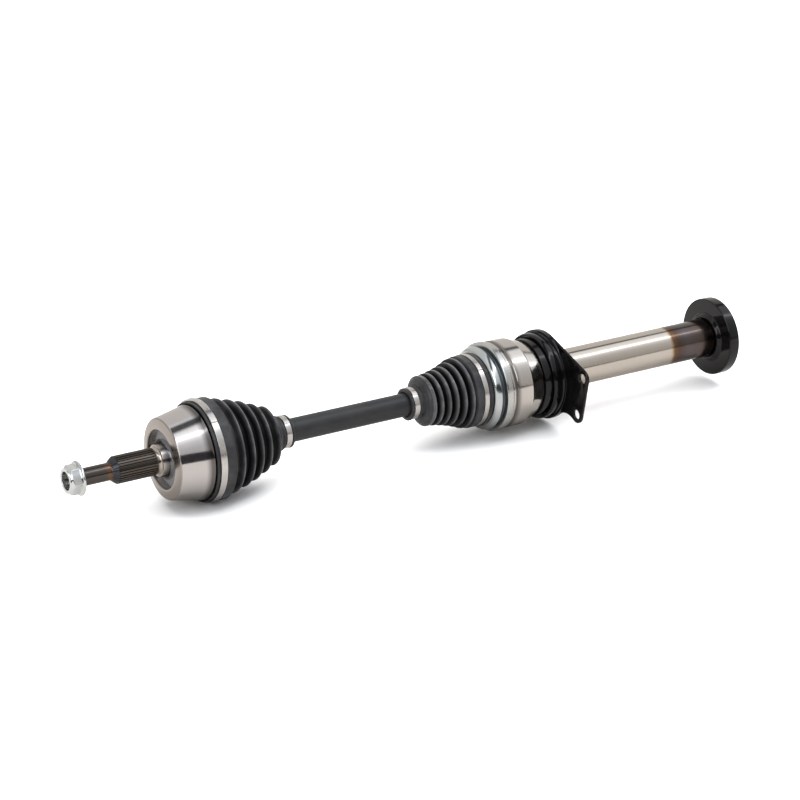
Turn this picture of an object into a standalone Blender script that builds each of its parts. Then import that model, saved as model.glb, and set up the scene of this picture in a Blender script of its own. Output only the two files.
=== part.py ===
"""Front drive shaft: ball joint, half shaft, sliding tripod joint, support bearing and splined tube.

Sizes are in millimetres and stations run along the axle from the outboard face of the nut.
In each centre's own axes +Z is inboard along the axle, +X is down and +Y is across.
"""

import math

import bmesh
import bpy
from mathutils import Vector

MM = 0.001
OBJECT_NAME = "cv_axle"

# Fits
SEAT_GAP = 0.3  # between two pieces that seat on each other
GROOVE_SLACK = 1.5  # side room of a ball in its groove, as the balls stay put in the cage
TRACK_SLACK = 1.3  # side room of a tripod roller in its track
CUT_PAST = 2.0  # how far a cutter runs past what it cuts
EDGE = 0.8  # small chamfer
MERGE_DISTANCE = 0.00001  # metres

# Nut and stub
NUT_ACROSS_FLATS = 27.0
NUT_HEIGHT = 14.0
NUT_FLANGE_REACH = 1.6  # past the corners of the hexagon
NUT_FLANGE_HEIGHT = 3.6
NUT_FLANGE_EDGE = 1.0
NUT_CHAMFER = 1.8
THREAD_R = 8.8
THREAD_LENGTH = 30.5
STUB_TIP_RECESS = 3.0
CHAMFER_LENGTH = 6.5
STUB_SPLINE_R = 13.8
STUB_SPLINE_LENGTH = 35.0
STUB_TEETH = 30
SPLINE_TOOTH_DEPTH = 1.1
STUB_ROOT_LENGTH = 15.0
STUB_FLARE_R = 17.5
SPLINE_CORE_GAP = 0.3  # the core lies this far under the roots of the teeth
SPLINE_RUNOUT = 2.0

# Outer ball joint
BALL_COUNT = 6
BALL_R = 8.0
BALL_PITCH_R = 28.5
CAGE_PAST_PITCH = 3.3
CAGE_WALL = 5.0
CAGE_HALF_WIDTH = 12.5
WINDOW_EXTRA = 1.0  # room past the ball at each end of a cage window
RACE_HALF_WIDTH = 11.5
GROOVE_REACH_DEG = 48.0
BELL_FACE_TO_CENTRE = 34.0
BELL_CENTRE_TO_RIM = 13.0
BELL_CAVITY_DEPTH = 26.0
BELL_MOUTH_ROOM = 1.4  # of the mouth past the cage
BELL_MOUTH_LEAD = 2.6
BELL_FACE_R = 38.4
BELL_FACE_EDGE_R = 2.0
BELL_LAND = 2.5
BELL_SHOULDER_STEP = 0.8
BELL_RECESS_R = 27.9
BELL_RECESS_DEPTH = 4.0
BELL_SEAT_R = 45.5
BELL_SEAT_START = -5.4  # from the joint centre

# Half shaft
SHAFT_R = 12.0
SHAFT_SPLINE_R = 10.2
JOINT_SPACING = 343.0
SHAFT_PAST_RACE = 4.0
SHAFT_CHAMFER = 1.5
CIRCLIP_WIDTH = 1.4
CIRCLIP_DEPTH = 0.9
CIRCLIP_PROUD = 1.2

# Outer boot, its stations from the outer joint centre
WALL_BOOT = 2.0
BOOT_LIP_WALL = 4.6
BOOT_LIP_GAP = 1.0  # from the step of the bell to the boot
BOOT_LIP_END = 1.4
BOOT_COLLAR_WALL = 5.2
BOOT_COLLAR_START = 10.8
BOOT_COLLAR_END = 22.0
OUTER_CREST_FIRST = 33.2
OUTER_CREST_PITCH = 12.4
OUTER_CREST_DROPS = (3.0, 6.4, 10.3, 15.4, 20.8)  # from the collar down to each crest
OUTER_NECK_START = 94.5
OUTER_NECK_END = 110.0
FOLD_DEPTH_OUTER = 5.4
CREST_HALF_WIDTH = 1.3
NECK_WALL = 3.3
NECK_SHOULDER = 2.6  # height and length of the shoulder where the folds meet the neck
NECK_SHOULDER_STEP = 1.6
CLAMP_THICKNESS = 1.2
CLAMP_PROUD = 0.2  # of the large clamp past the boot, so that the part rests on the clamp
SMALL_CLAMP_PROUD = 0.6
LARGE_CLAMP_WIDTH = 8.0
SMALL_CLAMP_WIDTH = 6.0
NECK_LIP_LENGTH = 3.2

# Tripod joint
ROLLER_PITCH_R = 22.0
ROLLER_R = 14.5
ROLLER_HALF_WIDTH = 8.0
TRUNNION_R = 7.5
NEEDLE_R = 1.3
ROLLER_RING_WIDTH = 1.2
ROLLER_RING_DEPTH = 0.8
ROLLER_RING_PROUD = 0.3
NEEDLE_END_GAP = 0.5
HUB_WALL = 3.8
HUB_HALF_WIDTH = 10.0
PLUNGE = 8.0
TILT_DEG = 20.0
DOME_PAST_HUB = 7.0
THRUST_CUP_LENGTH = 5.0
THRUST_CUP_SIDE_GAP = 0.4
SPRING_SIDE_GAP = 1.2
SPRING_WIRE_R = 1.0
SPRING_TURNS = 5
SPRING_STEPS = 8

# Tripod housing and can, their stations from the tripod centre
HOUSING_FRONT = -14.5
HOUSING_NOSE_STEP = 1.8
HOUSING_NOSE_CHAMFER = 1.6
HOUSING_NOSE_CHAMFER_LENGTH = 4.0
HOUSING_R = 45.8
HOUSING_STEP = 2.0
HOUSING_GROOVE_START = 4.2
HOUSING_GROOVE_WIDTH = 4.6
HOUSING_GROOVE_DEPTH = 0.6
HOUSING_CYLINDER_END = 26.0
HOUSING_CHAMFER = 1.0
HOUSING_CONE_END = 42.8
HOUSING_CONE_R = 35.8
HOUSING_CONE_CHAMFER = 2.2
HOUSING_CONE_CHAMFER_LENGTH = 3.0
CAN_WALL = 1.2
CAN_ROLL_WALL = 2.3
CAN_NECK_R = 33.4
CAN_NECK_START = -36.5
CAN_DOME_START = -19.6
CAN_DOME_DROP = 3.4  # from the nose of the housing
CAN_COVE_RISE = 0.4
CAN_ROLL_START = -7.5
CAN_ROLL_EDGE = 0.7

# Inner boot, its stations from the tripod centre
INNER_NECK_START = -105.0
INNER_FOLD_START = -89.6
INNER_CREST_FIRST = -80.2
INNER_CREST_PITCH = 8.4
INNER_CREST_DROPS = (11.6, 10.7, 9.3, 7.2, 4.0)
INNER_COLLAR_START = -38.6
INNER_COLLAR_WALL = 3.9
INNER_LIP_RISE = 1.0
INNER_LIP_END = -20.2
INNER_LIP_LENGTH = 3.2
INNER_CLAMP_WIDTH = 4.2
INNER_DOME_LIP = 1.2
INNER_DOME_RISE = 3.6  # from the front of the dome up to the first crest
INNER_DOME_ROUND = 0.9
INNER_DOME_LENGTH = 4.4
FOLD_DEPTH_INNER = 4.6

# Support bearing
TRIPOD_TO_BEARING = 55.3
BEARING_WIDTH = 18.0
BEARING_OUTER_R = 40.0
BEARING_SEAT_STEP = 0.2  # the seat stands proud of the tube, so that the bearing slides on
RING_SHARE = 0.3125  # of the height from bore to outside, for each ring
BEARING_BALL_COUNT = 9
BEARING_BALL_R = 6.0
BEARING_CAGE_RECESS = 1.6
BEARING_CAGE_WALL = 2.8
SEAL_WIDTH = 0.9
SEAL_RECESS = 0.2
BEARING_CLIP_DEPTH = 0.7
BEARING_CLIP_PROUD = 2.0
SEAT_PAST_CLIP = 1.5
SHOULDER_R = 24.5
WELD_LIP = 0.9
DUST_SHIELD_WIDTH = 2.0
DUST_SHIELD_GAP = 0.4

# Bearing housing, its stations from the bearing centre
CUP_PAST_BEARING = 3.8
CUP_LIP_DEPTH = 2.7
CUP_FRONT_WALL = 1.0
CUP_FRONT_EDGE = 1.2
CUP_WAIST_RISE = 2.2
CUP_WAIST = 11.5
CUP_NECK_RISE = 3.4
CUP_NECK = 6.5  # back from the ledge
CUP_ROUND = 3.5
CUP_LEDGE = 2.5
CUP_RIM_STEP = 0.05  # under the plate's edge
PLATE_PAST_BEARING = 2.7
PLATE_THICKNESS = 5.0
PLATE_RIM = 7.3  # past the bearing
RETAINER_WIDTH = 1.4
RETAINER_DEPTH = 1.2
RETAINER_REACH = 2.5  # over the edge of the bearing
BOLT_HOLE_R = 5.0
UPPER_HOLE = (-16.9, -71.0)
UPPER_LOBE_R = 10.5
LOWER_HOLE = (25.2, -62.4)
LOWER_LOBE_R = 9.2
NOTCH_R = 22.4

# Tube and end disc
TUBE_R = 20.3
BEARING_TO_DISC = 230.7
DISC_R = 41.6
DISC_THICKNESS = 11.0
DISC_EDGE = 0.9
DISC_BOSS_WALL = 3.6
DISC_BOSS_HEIGHT = 3.0
TUBE_END_RECESS = 1.0
TUBE_BORE_R = 13.4
SPRING_BORE_R = 9.2
PLUG_THICKNESS = 4.0
PLUG_FLOOR = 1.5
PLUG_WALL = 2.0
SOCKET_TEETH = 20
SOCKET_CLEARANCE = 0.5
SOCKET_TOOTH_DEPTH = 1.0
SOCKET_LENGTH = 50.0
SOCKET_LEAD = 6.0
SOCKET_CHAMFER = 1.5
ORING_GROOVE_DEPTH = 1.9
ORING_GROOVE_WIDTH = 2.6
ORING_RECESS = 0.1

# Facets: pieces about the axle share one count, so that their flats line up
STEPS = 20
CROSS_STEPS = 16  # pieces about a radius of the axle
POCKET_STEPS = 8  # pockets of the bearing cage
GROOVE_SIDES = 8
GROOVE_SEGMENTS = 6
TRACK_SEGMENTS = 8
BALL_COLUMNS = 10
BEARING_BALL_COLUMNS = 8

# Values that follow from the sizes above
BELL_FACE = NUT_HEIGHT + THREAD_LENGTH + CHAMFER_LENGTH + STUB_SPLINE_LENGTH + STUB_ROOT_LENGTH
OUTER_CENTRE = BELL_FACE + BELL_FACE_TO_CENTRE
INNER_CENTRE = OUTER_CENTRE + JOINT_SPACING
BEARING_CENTRE = INNER_CENTRE + TRIPOD_TO_BEARING
DISC_FACE = BEARING_CENTRE + BEARING_TO_DISC
OVERALL_LENGTH = DISC_FACE + DISC_THICKNESS
NUT_CORNER_R = NUT_ACROSS_FLATS / 2 / math.cos(math.pi / 6)
NUT_FLANGE_R = NUT_CORNER_R + NUT_FLANGE_REACH
CAGE_OUTER_R = BALL_PITCH_R + CAGE_PAST_PITCH
CAGE_INNER_R = CAGE_OUTER_R - CAGE_WALL
BELL_MOUTH_R = CAGE_OUTER_R + BELL_MOUTH_ROOM
BELL_SHOULDER_R = BELL_SEAT_R + BELL_SHOULDER_STEP
BOOT_LIP_R = BELL_SEAT_R + SEAT_GAP + BOOT_LIP_WALL
BOOT_COLLAR_R = BELL_SEAT_R + SEAT_GAP + BOOT_COLLAR_WALL
OUTER_CREST_RADII = [BOOT_COLLAR_R - drop for drop in OUTER_CREST_DROPS]
LARGE_CLAMP_R = max(BOOT_COLLAR_R, BOOT_LIP_R) + CLAMP_PROUD
NECK_R = SHAFT_R + SEAT_GAP + NECK_WALL
NECK_CLAMP_SEAT_R = NECK_R + SMALL_CLAMP_PROUD - CLAMP_THICKNESS - SEAT_GAP
HUB_R = SHAFT_SPLINE_R + SEAT_GAP + HUB_WALL
SHAFT_DOME_R = HUB_HALF_WIDTH + DOME_PAST_HUB
THRUST_CUP_END = SHAFT_DOME_R + THRUST_CUP_LENGTH
THRUST_CUP_R = SPRING_BORE_R - THRUST_CUP_SIDE_GAP
SPRING_R = SPRING_BORE_R - SPRING_SIDE_GAP - SPRING_WIRE_R
HOUSING_NOSE_R = HOUSING_R - HOUSING_NOSE_STEP
CAN_R = HOUSING_NOSE_R + SEAT_GAP + CAN_ROLL_WALL
CAN_DOME_R = HOUSING_NOSE_R - CAN_DOME_DROP
CAN_COVE_R = HOUSING_NOSE_R + CAN_COVE_RISE
INNER_COLLAR_R = CAN_NECK_R + SEAT_GAP + INNER_COLLAR_WALL
INNER_LIP_R = INNER_COLLAR_R + INNER_LIP_RISE
INNER_CREST_RADII = [INNER_COLLAR_R - drop for drop in INNER_CREST_DROPS]
PLATE_R = BEARING_OUTER_R + PLATE_RIM
CUP_LIP_R = BEARING_OUTER_R - CUP_LIP_DEPTH
CUP_FRONT_R = BEARING_OUTER_R + CUP_FRONT_WALL
CUP_FRONT = -BEARING_WIDTH / 2 - CUP_PAST_BEARING
PLATE_FRONT = BEARING_WIDTH / 2 + PLATE_PAST_BEARING
DISC_BOSS_R = TUBE_R + SEAT_GAP + DISC_BOSS_WALL
SOCKET_MAJOR_R = TUBE_BORE_R - SOCKET_CLEARANCE
SOCKET_MINOR_R = SOCKET_MAJOR_R - SOCKET_TOOTH_DEPTH
ORING_GROOVE_R = TUBE_BORE_R + ORING_GROOVE_DEPTH
LOBE_REACH = UPPER_LOBE_R - UPPER_HOLE[1]
ACROSS_SHIFT = (LOBE_REACH - LARGE_CLAMP_R) / 2
TRACK_HALF_WIDTH = ROLLER_R + TRACK_SLACK
TRACK_END = PLUNGE + ROLLER_PITCH_R * math.sin(math.radians(TILT_DEG)) + TRACK_HALF_WIDTH + SEAT_GAP
WELD = HOUSING_CONE_END + SEAT_GAP + WELD_LIP
BEARING_SEAT_R = TUBE_R + BEARING_SEAT_STEP
BEARING_BORE_R = BEARING_SEAT_R + SEAT_GAP
BEARING_PITCH_R = (BEARING_BORE_R + BEARING_OUTER_R) / 2
BEARING_HEIGHT = BEARING_OUTER_R - BEARING_BORE_R
RING_WALL = BEARING_HEIGHT * RING_SHARE
BEARING_CAGE_HALF_WIDTH = BEARING_WIDTH / 2 - BEARING_CAGE_RECESS
TUBE_END = BEARING_TO_DISC + DISC_THICKNESS - TUBE_END_RECESS
GROOVE_R = (BALL_R + GROOVE_SLACK) / math.cos(math.pi / GROOVE_SIDES)
FLAT_ROOM = 1 / math.cos(math.pi / STEPS)  # a turned hollow this much larger holds the round in full
SPHERE_ROOM = FLAT_ROOM * 1.005  # the same for a hollow ball, whose profile has flats too

PARTS = None
CUTTERS = None
CENTRES = {}

FINISHES = {
    "zinc": ((0.78, 0.78, 0.76), 0.28, 1.0),
    "turned_steel": ((0.56, 0.54, 0.52), 0.26, 1.0),
    "ground_steel": ((0.62, 0.62, 0.63), 0.2, 1.0),
    "black_paint": ((0.02, 0.02, 0.022), 0.3, 0.0),
    "bar_paint": ((0.05, 0.052, 0.056), 0.45, 0.0),
    "boot_rubber": ((0.016, 0.016, 0.017), 0.5, 0.0),
    "clamp_steel": ((0.74, 0.73, 0.71), 0.3, 1.0),
    "spring_steel": ((0.3, 0.29, 0.28), 0.4, 1.0),
    "seal_rubber": ((0.03, 0.03, 0.03), 0.6, 0.0),
    "cage_polymer": ((0.3, 0.25, 0.16), 0.5, 0.0),
}


def clear_scene():
    """Take the starting objects out of the scene."""
    for old in list(bpy.data.objects):
        bpy.data.objects.remove(old, do_unlink=True)


def new_collection(name, hidden=False):
    """Add a collection to the scene."""
    collection = bpy.data.collections.new(name)
    collection.hide_render = hidden
    bpy.context.scene.collection.children.link(collection)
    return collection


def new_centre(name, station, parent):
    """Add an empty on the axle line at a station from its parent."""
    empty = bpy.data.objects.new(name, None)
    empty.empty_display_size = 0.02
    empty.parent = parent
    empty.location = (0, 0, station * MM)
    PARTS.objects.link(empty)
    CENTRES[name] = empty
    return empty


def dress(obj, finish):
    """Give the object a material of its own in the named finish."""
    colour, roughness, metallic = FINISHES[finish]
    material = bpy.data.materials.new(obj.name)
    material.use_nodes = True
    shader = material.node_tree.nodes["Principled BSDF"]
    shader.inputs["Base Color"].default_value = (*colour, 1)
    shader.inputs["Roughness"].default_value = roughness
    shader.inputs["Metallic"].default_value = metallic
    obj.data.materials.append(material)


def place(name, data, centre, finish):
    """Link a mesh or a curve under a centre, as a part with a finish or as a hidden cutter."""
    obj = bpy.data.objects.new(name, data)
    obj.parent = CENTRES[centre]
    if finish:
        PARTS.objects.link(obj)
        dress(obj, finish)
    else:
        CUTTERS.objects.link(obj)
        obj.hide_render = True
        obj.display_type = "WIRE"
    return obj


def mesh_from(name, form):
    """Turn a bmesh into mesh data with its normals facing out."""
    bmesh.ops.recalc_face_normals(form, faces=form.faces)
    data = bpy.data.meshes.new(name)
    form.to_mesh(data)
    form.free()
    return data


def signed_area(points):
    """Twice the signed area of an outline, closed from its last point to its first."""
    pairs = zip(points, points[1:] + points[:1])
    return sum(a[0] * b[1] - b[0] * a[1] for a, b in pairs)


def turned(name, profile, centre, finish, steps=STEPS):
    """Turn a profile of (radius, station) points about the axle line."""
    points = list(profile)
    if signed_area(points) > 0:
        points.reverse()
    open_on_axis = points[0][0] == 0 and points[-1][0] == 0
    last = len(points) - 1 if open_on_axis else len(points)
    edges = [(i, (i + 1) % len(points)) for i in range(last)]
    data = bpy.data.meshes.new(name)
    data.from_pydata([(r * MM, 0, z * MM) for r, z in points], edges, [])
    obj = place(name, data, centre, finish)
    screw = obj.modifiers.new("turn", "SCREW")
    screw.axis = "Z"
    screw.angle = math.tau
    screw.steps = steps
    screw.render_steps = steps
    screw.use_merge_vertices = True
    screw.merge_threshold = MERGE_DISTANCE
    return obj


def band(inner, outer, start, end):
    """The profile of a plain ring."""
    return [(inner, start), (outer, start), (outer, end), (inner, end)]


def arc(centre_r, centre_z, radius, from_deg, to_deg, count):
    """Profile points on an arc, its angle measured from the outward direction towards inboard."""
    angles = [math.radians(from_deg + (to_deg - from_deg) * i / count) for i in range(count + 1)]
    return [(centre_r + radius * math.cos(a), centre_z + radius * math.sin(a)) for a in angles]


def sphere_arc(radius, from_z, to_z, count):
    """Profile points on a sphere about the centre, between two stations."""
    start = math.degrees(math.asin(from_z / radius))
    end = math.degrees(math.asin(to_z / radius))
    return arc(0, 0, radius, start, end, count)


def spaced(count, first_deg=90.0):
    """Even angles about the axle, in radians."""
    return [math.radians(first_deg + 360 * i / count) for i in range(count)]


def prism(name, outline, start, end, centre, finish=None):
    """A straight prism of an outline, between two stations."""
    form = bmesh.new()
    corners = [form.verts.new((x * MM, y * MM, start * MM)) for x, y in outline]
    base = form.faces.new(corners)
    lifted = bmesh.ops.extrude_face_region(form, geom=[base])["geom"]
    moved = [v for v in lifted if isinstance(v, bmesh.types.BMVert)]
    bmesh.ops.translate(form, verts=moved, vec=(0, 0, (end - start) * MM))
    return place(name, mesh_from(name, form), centre, finish)


def ball(name, radius, columns, pitch_r, angle, centre, finish):
    """A ball on the pitch circle, at an angle about the axle."""
    form = bmesh.new()
    bmesh.ops.create_uvsphere(form, u_segments=columns, v_segments=columns // 2, radius=radius * MM)
    obj = place(name, mesh_from(name, form), centre, finish)
    obj.location = (pitch_r * math.cos(angle) * MM, pitch_r * math.sin(angle) * MM, 0)
    return obj


def point_outward(obj, angle, distance=0.0):
    """Set an object's own Z along a radius of the axle, at a distance from the line."""
    obj.rotation_euler = (0, math.pi / 2, angle)
    obj.location = (distance * math.cos(angle) * MM, distance * math.sin(angle) * MM, 0)


def combine(target, other, operation):
    """Add a Boolean of a hidden object to the target."""
    modifier = target.modifiers.new(operation.lower(), "BOOLEAN")
    modifier.object = other
    modifier.operation = operation
    modifier.solver = "EXACT"


def toothed_bar(name, teeth, rings, centre):
    """A hidden bar with straight teeth, lofted through (station, root radius, tip radius) rings."""
    form = bmesh.new()
    rows = []
    for station, root, tip in rings:
        row = []
        for i in range(2 * teeth):
            angle = math.pi * i / teeth
            radius = tip if i % 2 else root
            spot = (radius * math.cos(angle), radius * math.sin(angle), station)
            row.append(form.verts.new(Vector(spot) * MM))
        rows.append(row)
    for lower, upper in zip(rows, rows[1:]):
        for i, vert in enumerate(lower):
            after = (i + 1) % len(lower)
            form.faces.new((vert, lower[after], upper[after], upper[i]))
    form.faces.new(rows[0][::-1])
    form.faces.new(rows[-1])
    return place(name, mesh_from(name, form), centre, None)


def groove_cutter(centre):
    """Six tubes bent along meridians through the ball pitch circle."""
    curve = bpy.data.curves.new("ball_grooves", "CURVE")
    curve.dimensions = "3D"
    curve.bevel_depth = GROOVE_R * MM
    curve.bevel_resolution = (GROOVE_SIDES - 4) // 2
    curve.use_fill_caps = True
    path = arc(0, 0, BALL_PITCH_R, -GROOVE_REACH_DEG, GROOVE_REACH_DEG, GROOVE_SEGMENTS)
    for angle in spaced(BALL_COUNT):
        spline = curve.splines.new("POLY")
        spline.points.add(GROOVE_SEGMENTS)
        for i, (radius, station) in enumerate(path):
            spot = Vector((radius * math.cos(angle), radius * math.sin(angle), station)) * MM
            spline.points[i].co = (*spot, 1)
    source = bpy.data.objects.new("ball_grooves_curve", curve)
    data = bpy.data.meshes.new_from_object(source)
    bpy.data.objects.remove(source)
    form = bmesh.new()
    form.from_mesh(data)
    bmesh.ops.remove_doubles(form, verts=form.verts, dist=MERGE_DISTANCE)
    return place("ball_grooves", mesh_from("ball_grooves", form), centre, None)


def build_nut():
    """Hexagon nut with a flange on its inboard side."""
    flat_r = NUT_ACROSS_FLATS / 2
    bore = THREAD_R + SEAT_GAP
    flange_start = NUT_HEIGHT - NUT_FLANGE_HEIGHT
    nut = turned(
        "axle_nut",
        [
            (bore + EDGE, 0),
            (flat_r - EDGE / 2, 0),
            (NUT_CORNER_R, NUT_CHAMFER),
            (NUT_CORNER_R, flange_start + EDGE / 2),
            (NUT_FLANGE_R, NUT_HEIGHT - NUT_FLANGE_EDGE),
            (NUT_FLANGE_R, NUT_HEIGHT),
            (bore, NUT_HEIGHT),
            (bore, EDGE),
        ],
        "nut_face",
        "zinc",
    )
    ring = circle((0, 0), 2 * NUT_FLANGE_R, CROSS_STEPS)
    waste = prism("nut_waste", ring, -CUT_PAST, flange_start, "nut_face")
    hexagon = [(NUT_CORNER_R * math.cos(a), NUT_CORNER_R * math.sin(a)) for a in spaced(6)]
    keep = prism("nut_hexagon", hexagon, -2 * CUT_PAST, flange_start + CUT_PAST, "nut_face")
    combine(waste, keep, "DIFFERENCE")
    combine(nut, waste, "DIFFERENCE")


def build_bell(grooves):
    """Bell and splined stub of the ball joint in one forging."""
    tip = STUB_TIP_RECESS - OUTER_CENTRE
    face = -BELL_FACE_TO_CENTRE
    chamfer_end = face - STUB_ROOT_LENGTH - STUB_SPLINE_LENGTH
    chamfer_start = chamfer_end - CHAMFER_LENGTH
    root_r = STUB_SPLINE_R - SPLINE_TOOTH_DEPTH
    recess = face + BELL_RECESS_DEPTH
    bore_r = (CAGE_OUTER_R + SEAT_GAP) * SPHERE_ROOM
    mouth = BELL_CENTRE_TO_RIM - BELL_MOUTH_LEAD
    profile = [
        (0, tip),
        (THREAD_R, tip),
        (THREAD_R, chamfer_start),
        (root_r - SPLINE_CORE_GAP, chamfer_end),
        (root_r - SPLINE_CORE_GAP, face - STUB_ROOT_LENGTH / 2),
    ]
    flare = STUB_FLARE_R - root_r
    profile += arc(STUB_FLARE_R, recess - flare, flare, 180, 90, 3)
    profile += [
        (BELL_RECESS_R, recess),
        (BELL_RECESS_R, face + EDGE),
        (BELL_RECESS_R + EDGE, face),
    ]
    profile += arc(BELL_FACE_R, face + BELL_FACE_EDGE_R, BELL_FACE_EDGE_R, -90, -15, 2)
    profile += [
        (BELL_SHOULDER_R, BELL_SEAT_START - BELL_LAND),
        (BELL_SHOULDER_R, BELL_SEAT_START),
        (BELL_SEAT_R, BELL_SEAT_START),
        (BELL_SEAT_R, BELL_CENTRE_TO_RIM),
        (BELL_MOUTH_R, BELL_CENTRE_TO_RIM),
    ]
    profile += sphere_arc(bore_r, mouth, -BELL_CAVITY_DEPTH, 6)
    profile += [(0, -BELL_CAVITY_DEPTH)]
    bell = turned("outer_joint_bell", profile, "outer_joint_centre", "turned_steel")
    teeth = toothed_bar(
        "stub_teeth",
        STUB_TEETH,
        [
            (chamfer_start + EDGE, THREAD_R - SPLINE_CORE_GAP, THREAD_R),
            (chamfer_end, root_r, STUB_SPLINE_R),
            (face - STUB_ROOT_LENGTH, root_r, STUB_SPLINE_R),
            (face - STUB_ROOT_LENGTH + SPLINE_RUNOUT, root_r - 2 * SPLINE_CORE_GAP, root_r),
        ],
        "outer_joint_centre",
    )
    combine(bell, teeth, "UNION")
    combine(bell, grooves, "DIFFERENCE")


def build_outer_joint():
    """Bell, inner race, cage, six balls and the clip that keeps the race on the shaft."""
    centre = "outer_joint_centre"
    grooves = groove_cutter(centre)
    build_bell(grooves)
    race_r = CAGE_INNER_R / SPHERE_ROOM - SEAT_GAP / 2
    bore = SHAFT_SPLINE_R + SEAT_GAP
    profile = sphere_arc(race_r, -RACE_HALF_WIDTH, RACE_HALF_WIDTH, 4)
    profile += [(bore, RACE_HALF_WIDTH), (bore, -RACE_HALF_WIDTH)]
    race = turned("outer_joint_inner_race", profile, centre, "ground_steel")
    combine(race, grooves, "DIFFERENCE")
    profile = sphere_arc(CAGE_OUTER_R, -CAGE_HALF_WIDTH, CAGE_HALF_WIDTH, 4)
    profile += sphere_arc(CAGE_INNER_R, CAGE_HALF_WIDTH, -CAGE_HALF_WIDTH, 4)
    cage = turned("outer_joint_cage", profile, centre, "spring_steel")
    across = BALL_R + SEAT_GAP + WINDOW_EXTRA
    along = BALL_R + SEAT_GAP
    for angle in spaced(BALL_COUNT):
        outline = [(-along, -across), (along, -across), (along, across), (-along, across)]
        window = prism("cage_window", outline, CAGE_INNER_R / 2, CAGE_OUTER_R + CUT_PAST, centre)
        point_outward(window, angle)
        combine(cage, window, "DIFFERENCE")
    for number, angle in enumerate(spaced(BALL_COUNT), 1):
        ball(
            f"outer_joint_ball_{number}",
            BALL_R,
            BALL_COLUMNS,
            BALL_PITCH_R,
            angle,
            centre,
            "ground_steel",
        )
    clip = -RACE_HALF_WIDTH - SEAT_GAP - CIRCLIP_WIDTH
    turned("outer_joint_circlip", circlip_profile(clip), centre, "spring_steel")


def circlip_profile(start):
    """The ring of a clip in a groove of the shaft's splined end."""
    inner = SHAFT_SPLINE_R - CIRCLIP_DEPTH + SEAT_GAP
    return band(inner, SHAFT_SPLINE_R + CIRCLIP_PROUD, start, start + CIRCLIP_WIDTH)


def build_half_shaft():
    """Bar between the two joints, with a splined seat and a clip groove at each end."""
    groove_r = SHAFT_SPLINE_R - CIRCLIP_DEPTH
    end = -RACE_HALF_WIDTH - SHAFT_PAST_RACE
    first = -RACE_HALF_WIDTH - SEAT_GAP - CIRCLIP_WIDTH
    hub_end = JOINT_SPACING + HUB_HALF_WIDTH + SEAT_GAP
    profile = [
        (0, end),
        (SHAFT_SPLINE_R, end),
        (SHAFT_SPLINE_R, first - SEAT_GAP),
        (groove_r, first - SEAT_GAP),
        (groove_r, first + CIRCLIP_WIDTH + SEAT_GAP / 2),
        (SHAFT_SPLINE_R, first + CIRCLIP_WIDTH + SEAT_GAP / 2),
        (SHAFT_SPLINE_R, RACE_HALF_WIDTH + SEAT_GAP),
        (SHAFT_R, RACE_HALF_WIDTH + SEAT_GAP + SHAFT_CHAMFER),
        (SHAFT_R, JOINT_SPACING - HUB_HALF_WIDTH - SEAT_GAP - SHAFT_CHAMFER),
        (SHAFT_SPLINE_R, JOINT_SPACING - HUB_HALF_WIDTH - SEAT_GAP),
        (SHAFT_SPLINE_R, hub_end - SEAT_GAP / 2),
        (groove_r, hub_end - SEAT_GAP / 2),
        (groove_r, hub_end + CIRCLIP_WIDTH + SEAT_GAP / 2),
    ]
    dome = math.degrees(math.acos(groove_r / SHAFT_DOME_R))
    profile += arc(0, JOINT_SPACING, SHAFT_DOME_R, dome, 90, 3)[:-1]
    profile += [(0, JOINT_SPACING + SHAFT_DOME_R)]
    turned("half_shaft", profile, "outer_joint_centre", "bar_paint")


def folds(first, pitch, radii, depth, before, after):
    """Crests and valleys of a boot between the points before and after them, as (outside, inside)."""
    spots = [(radius, first + pitch * i) for i, radius in enumerate(radii)]
    outside = []
    inside = []
    earlier = before
    for radius, station in spots:
        valley = ((earlier[0] + radius) / 2 - depth, (earlier[1] + station) / 2)
        outside += [valley, (radius, station - CREST_HALF_WIDTH), (radius, station + CREST_HALF_WIDTH)]
        inside += [(valley[0] - WALL_BOOT, valley[1]), (radius - WALL_BOOT, station)]
        earlier = (radius, station)
    if after:
        valley = ((earlier[0] + after[0]) / 2 - depth, (earlier[1] + after[1]) / 2)
        outside.append(valley)
        inside.append((valley[0] - WALL_BOOT, valley[1]))
    return outside, inside


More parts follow.
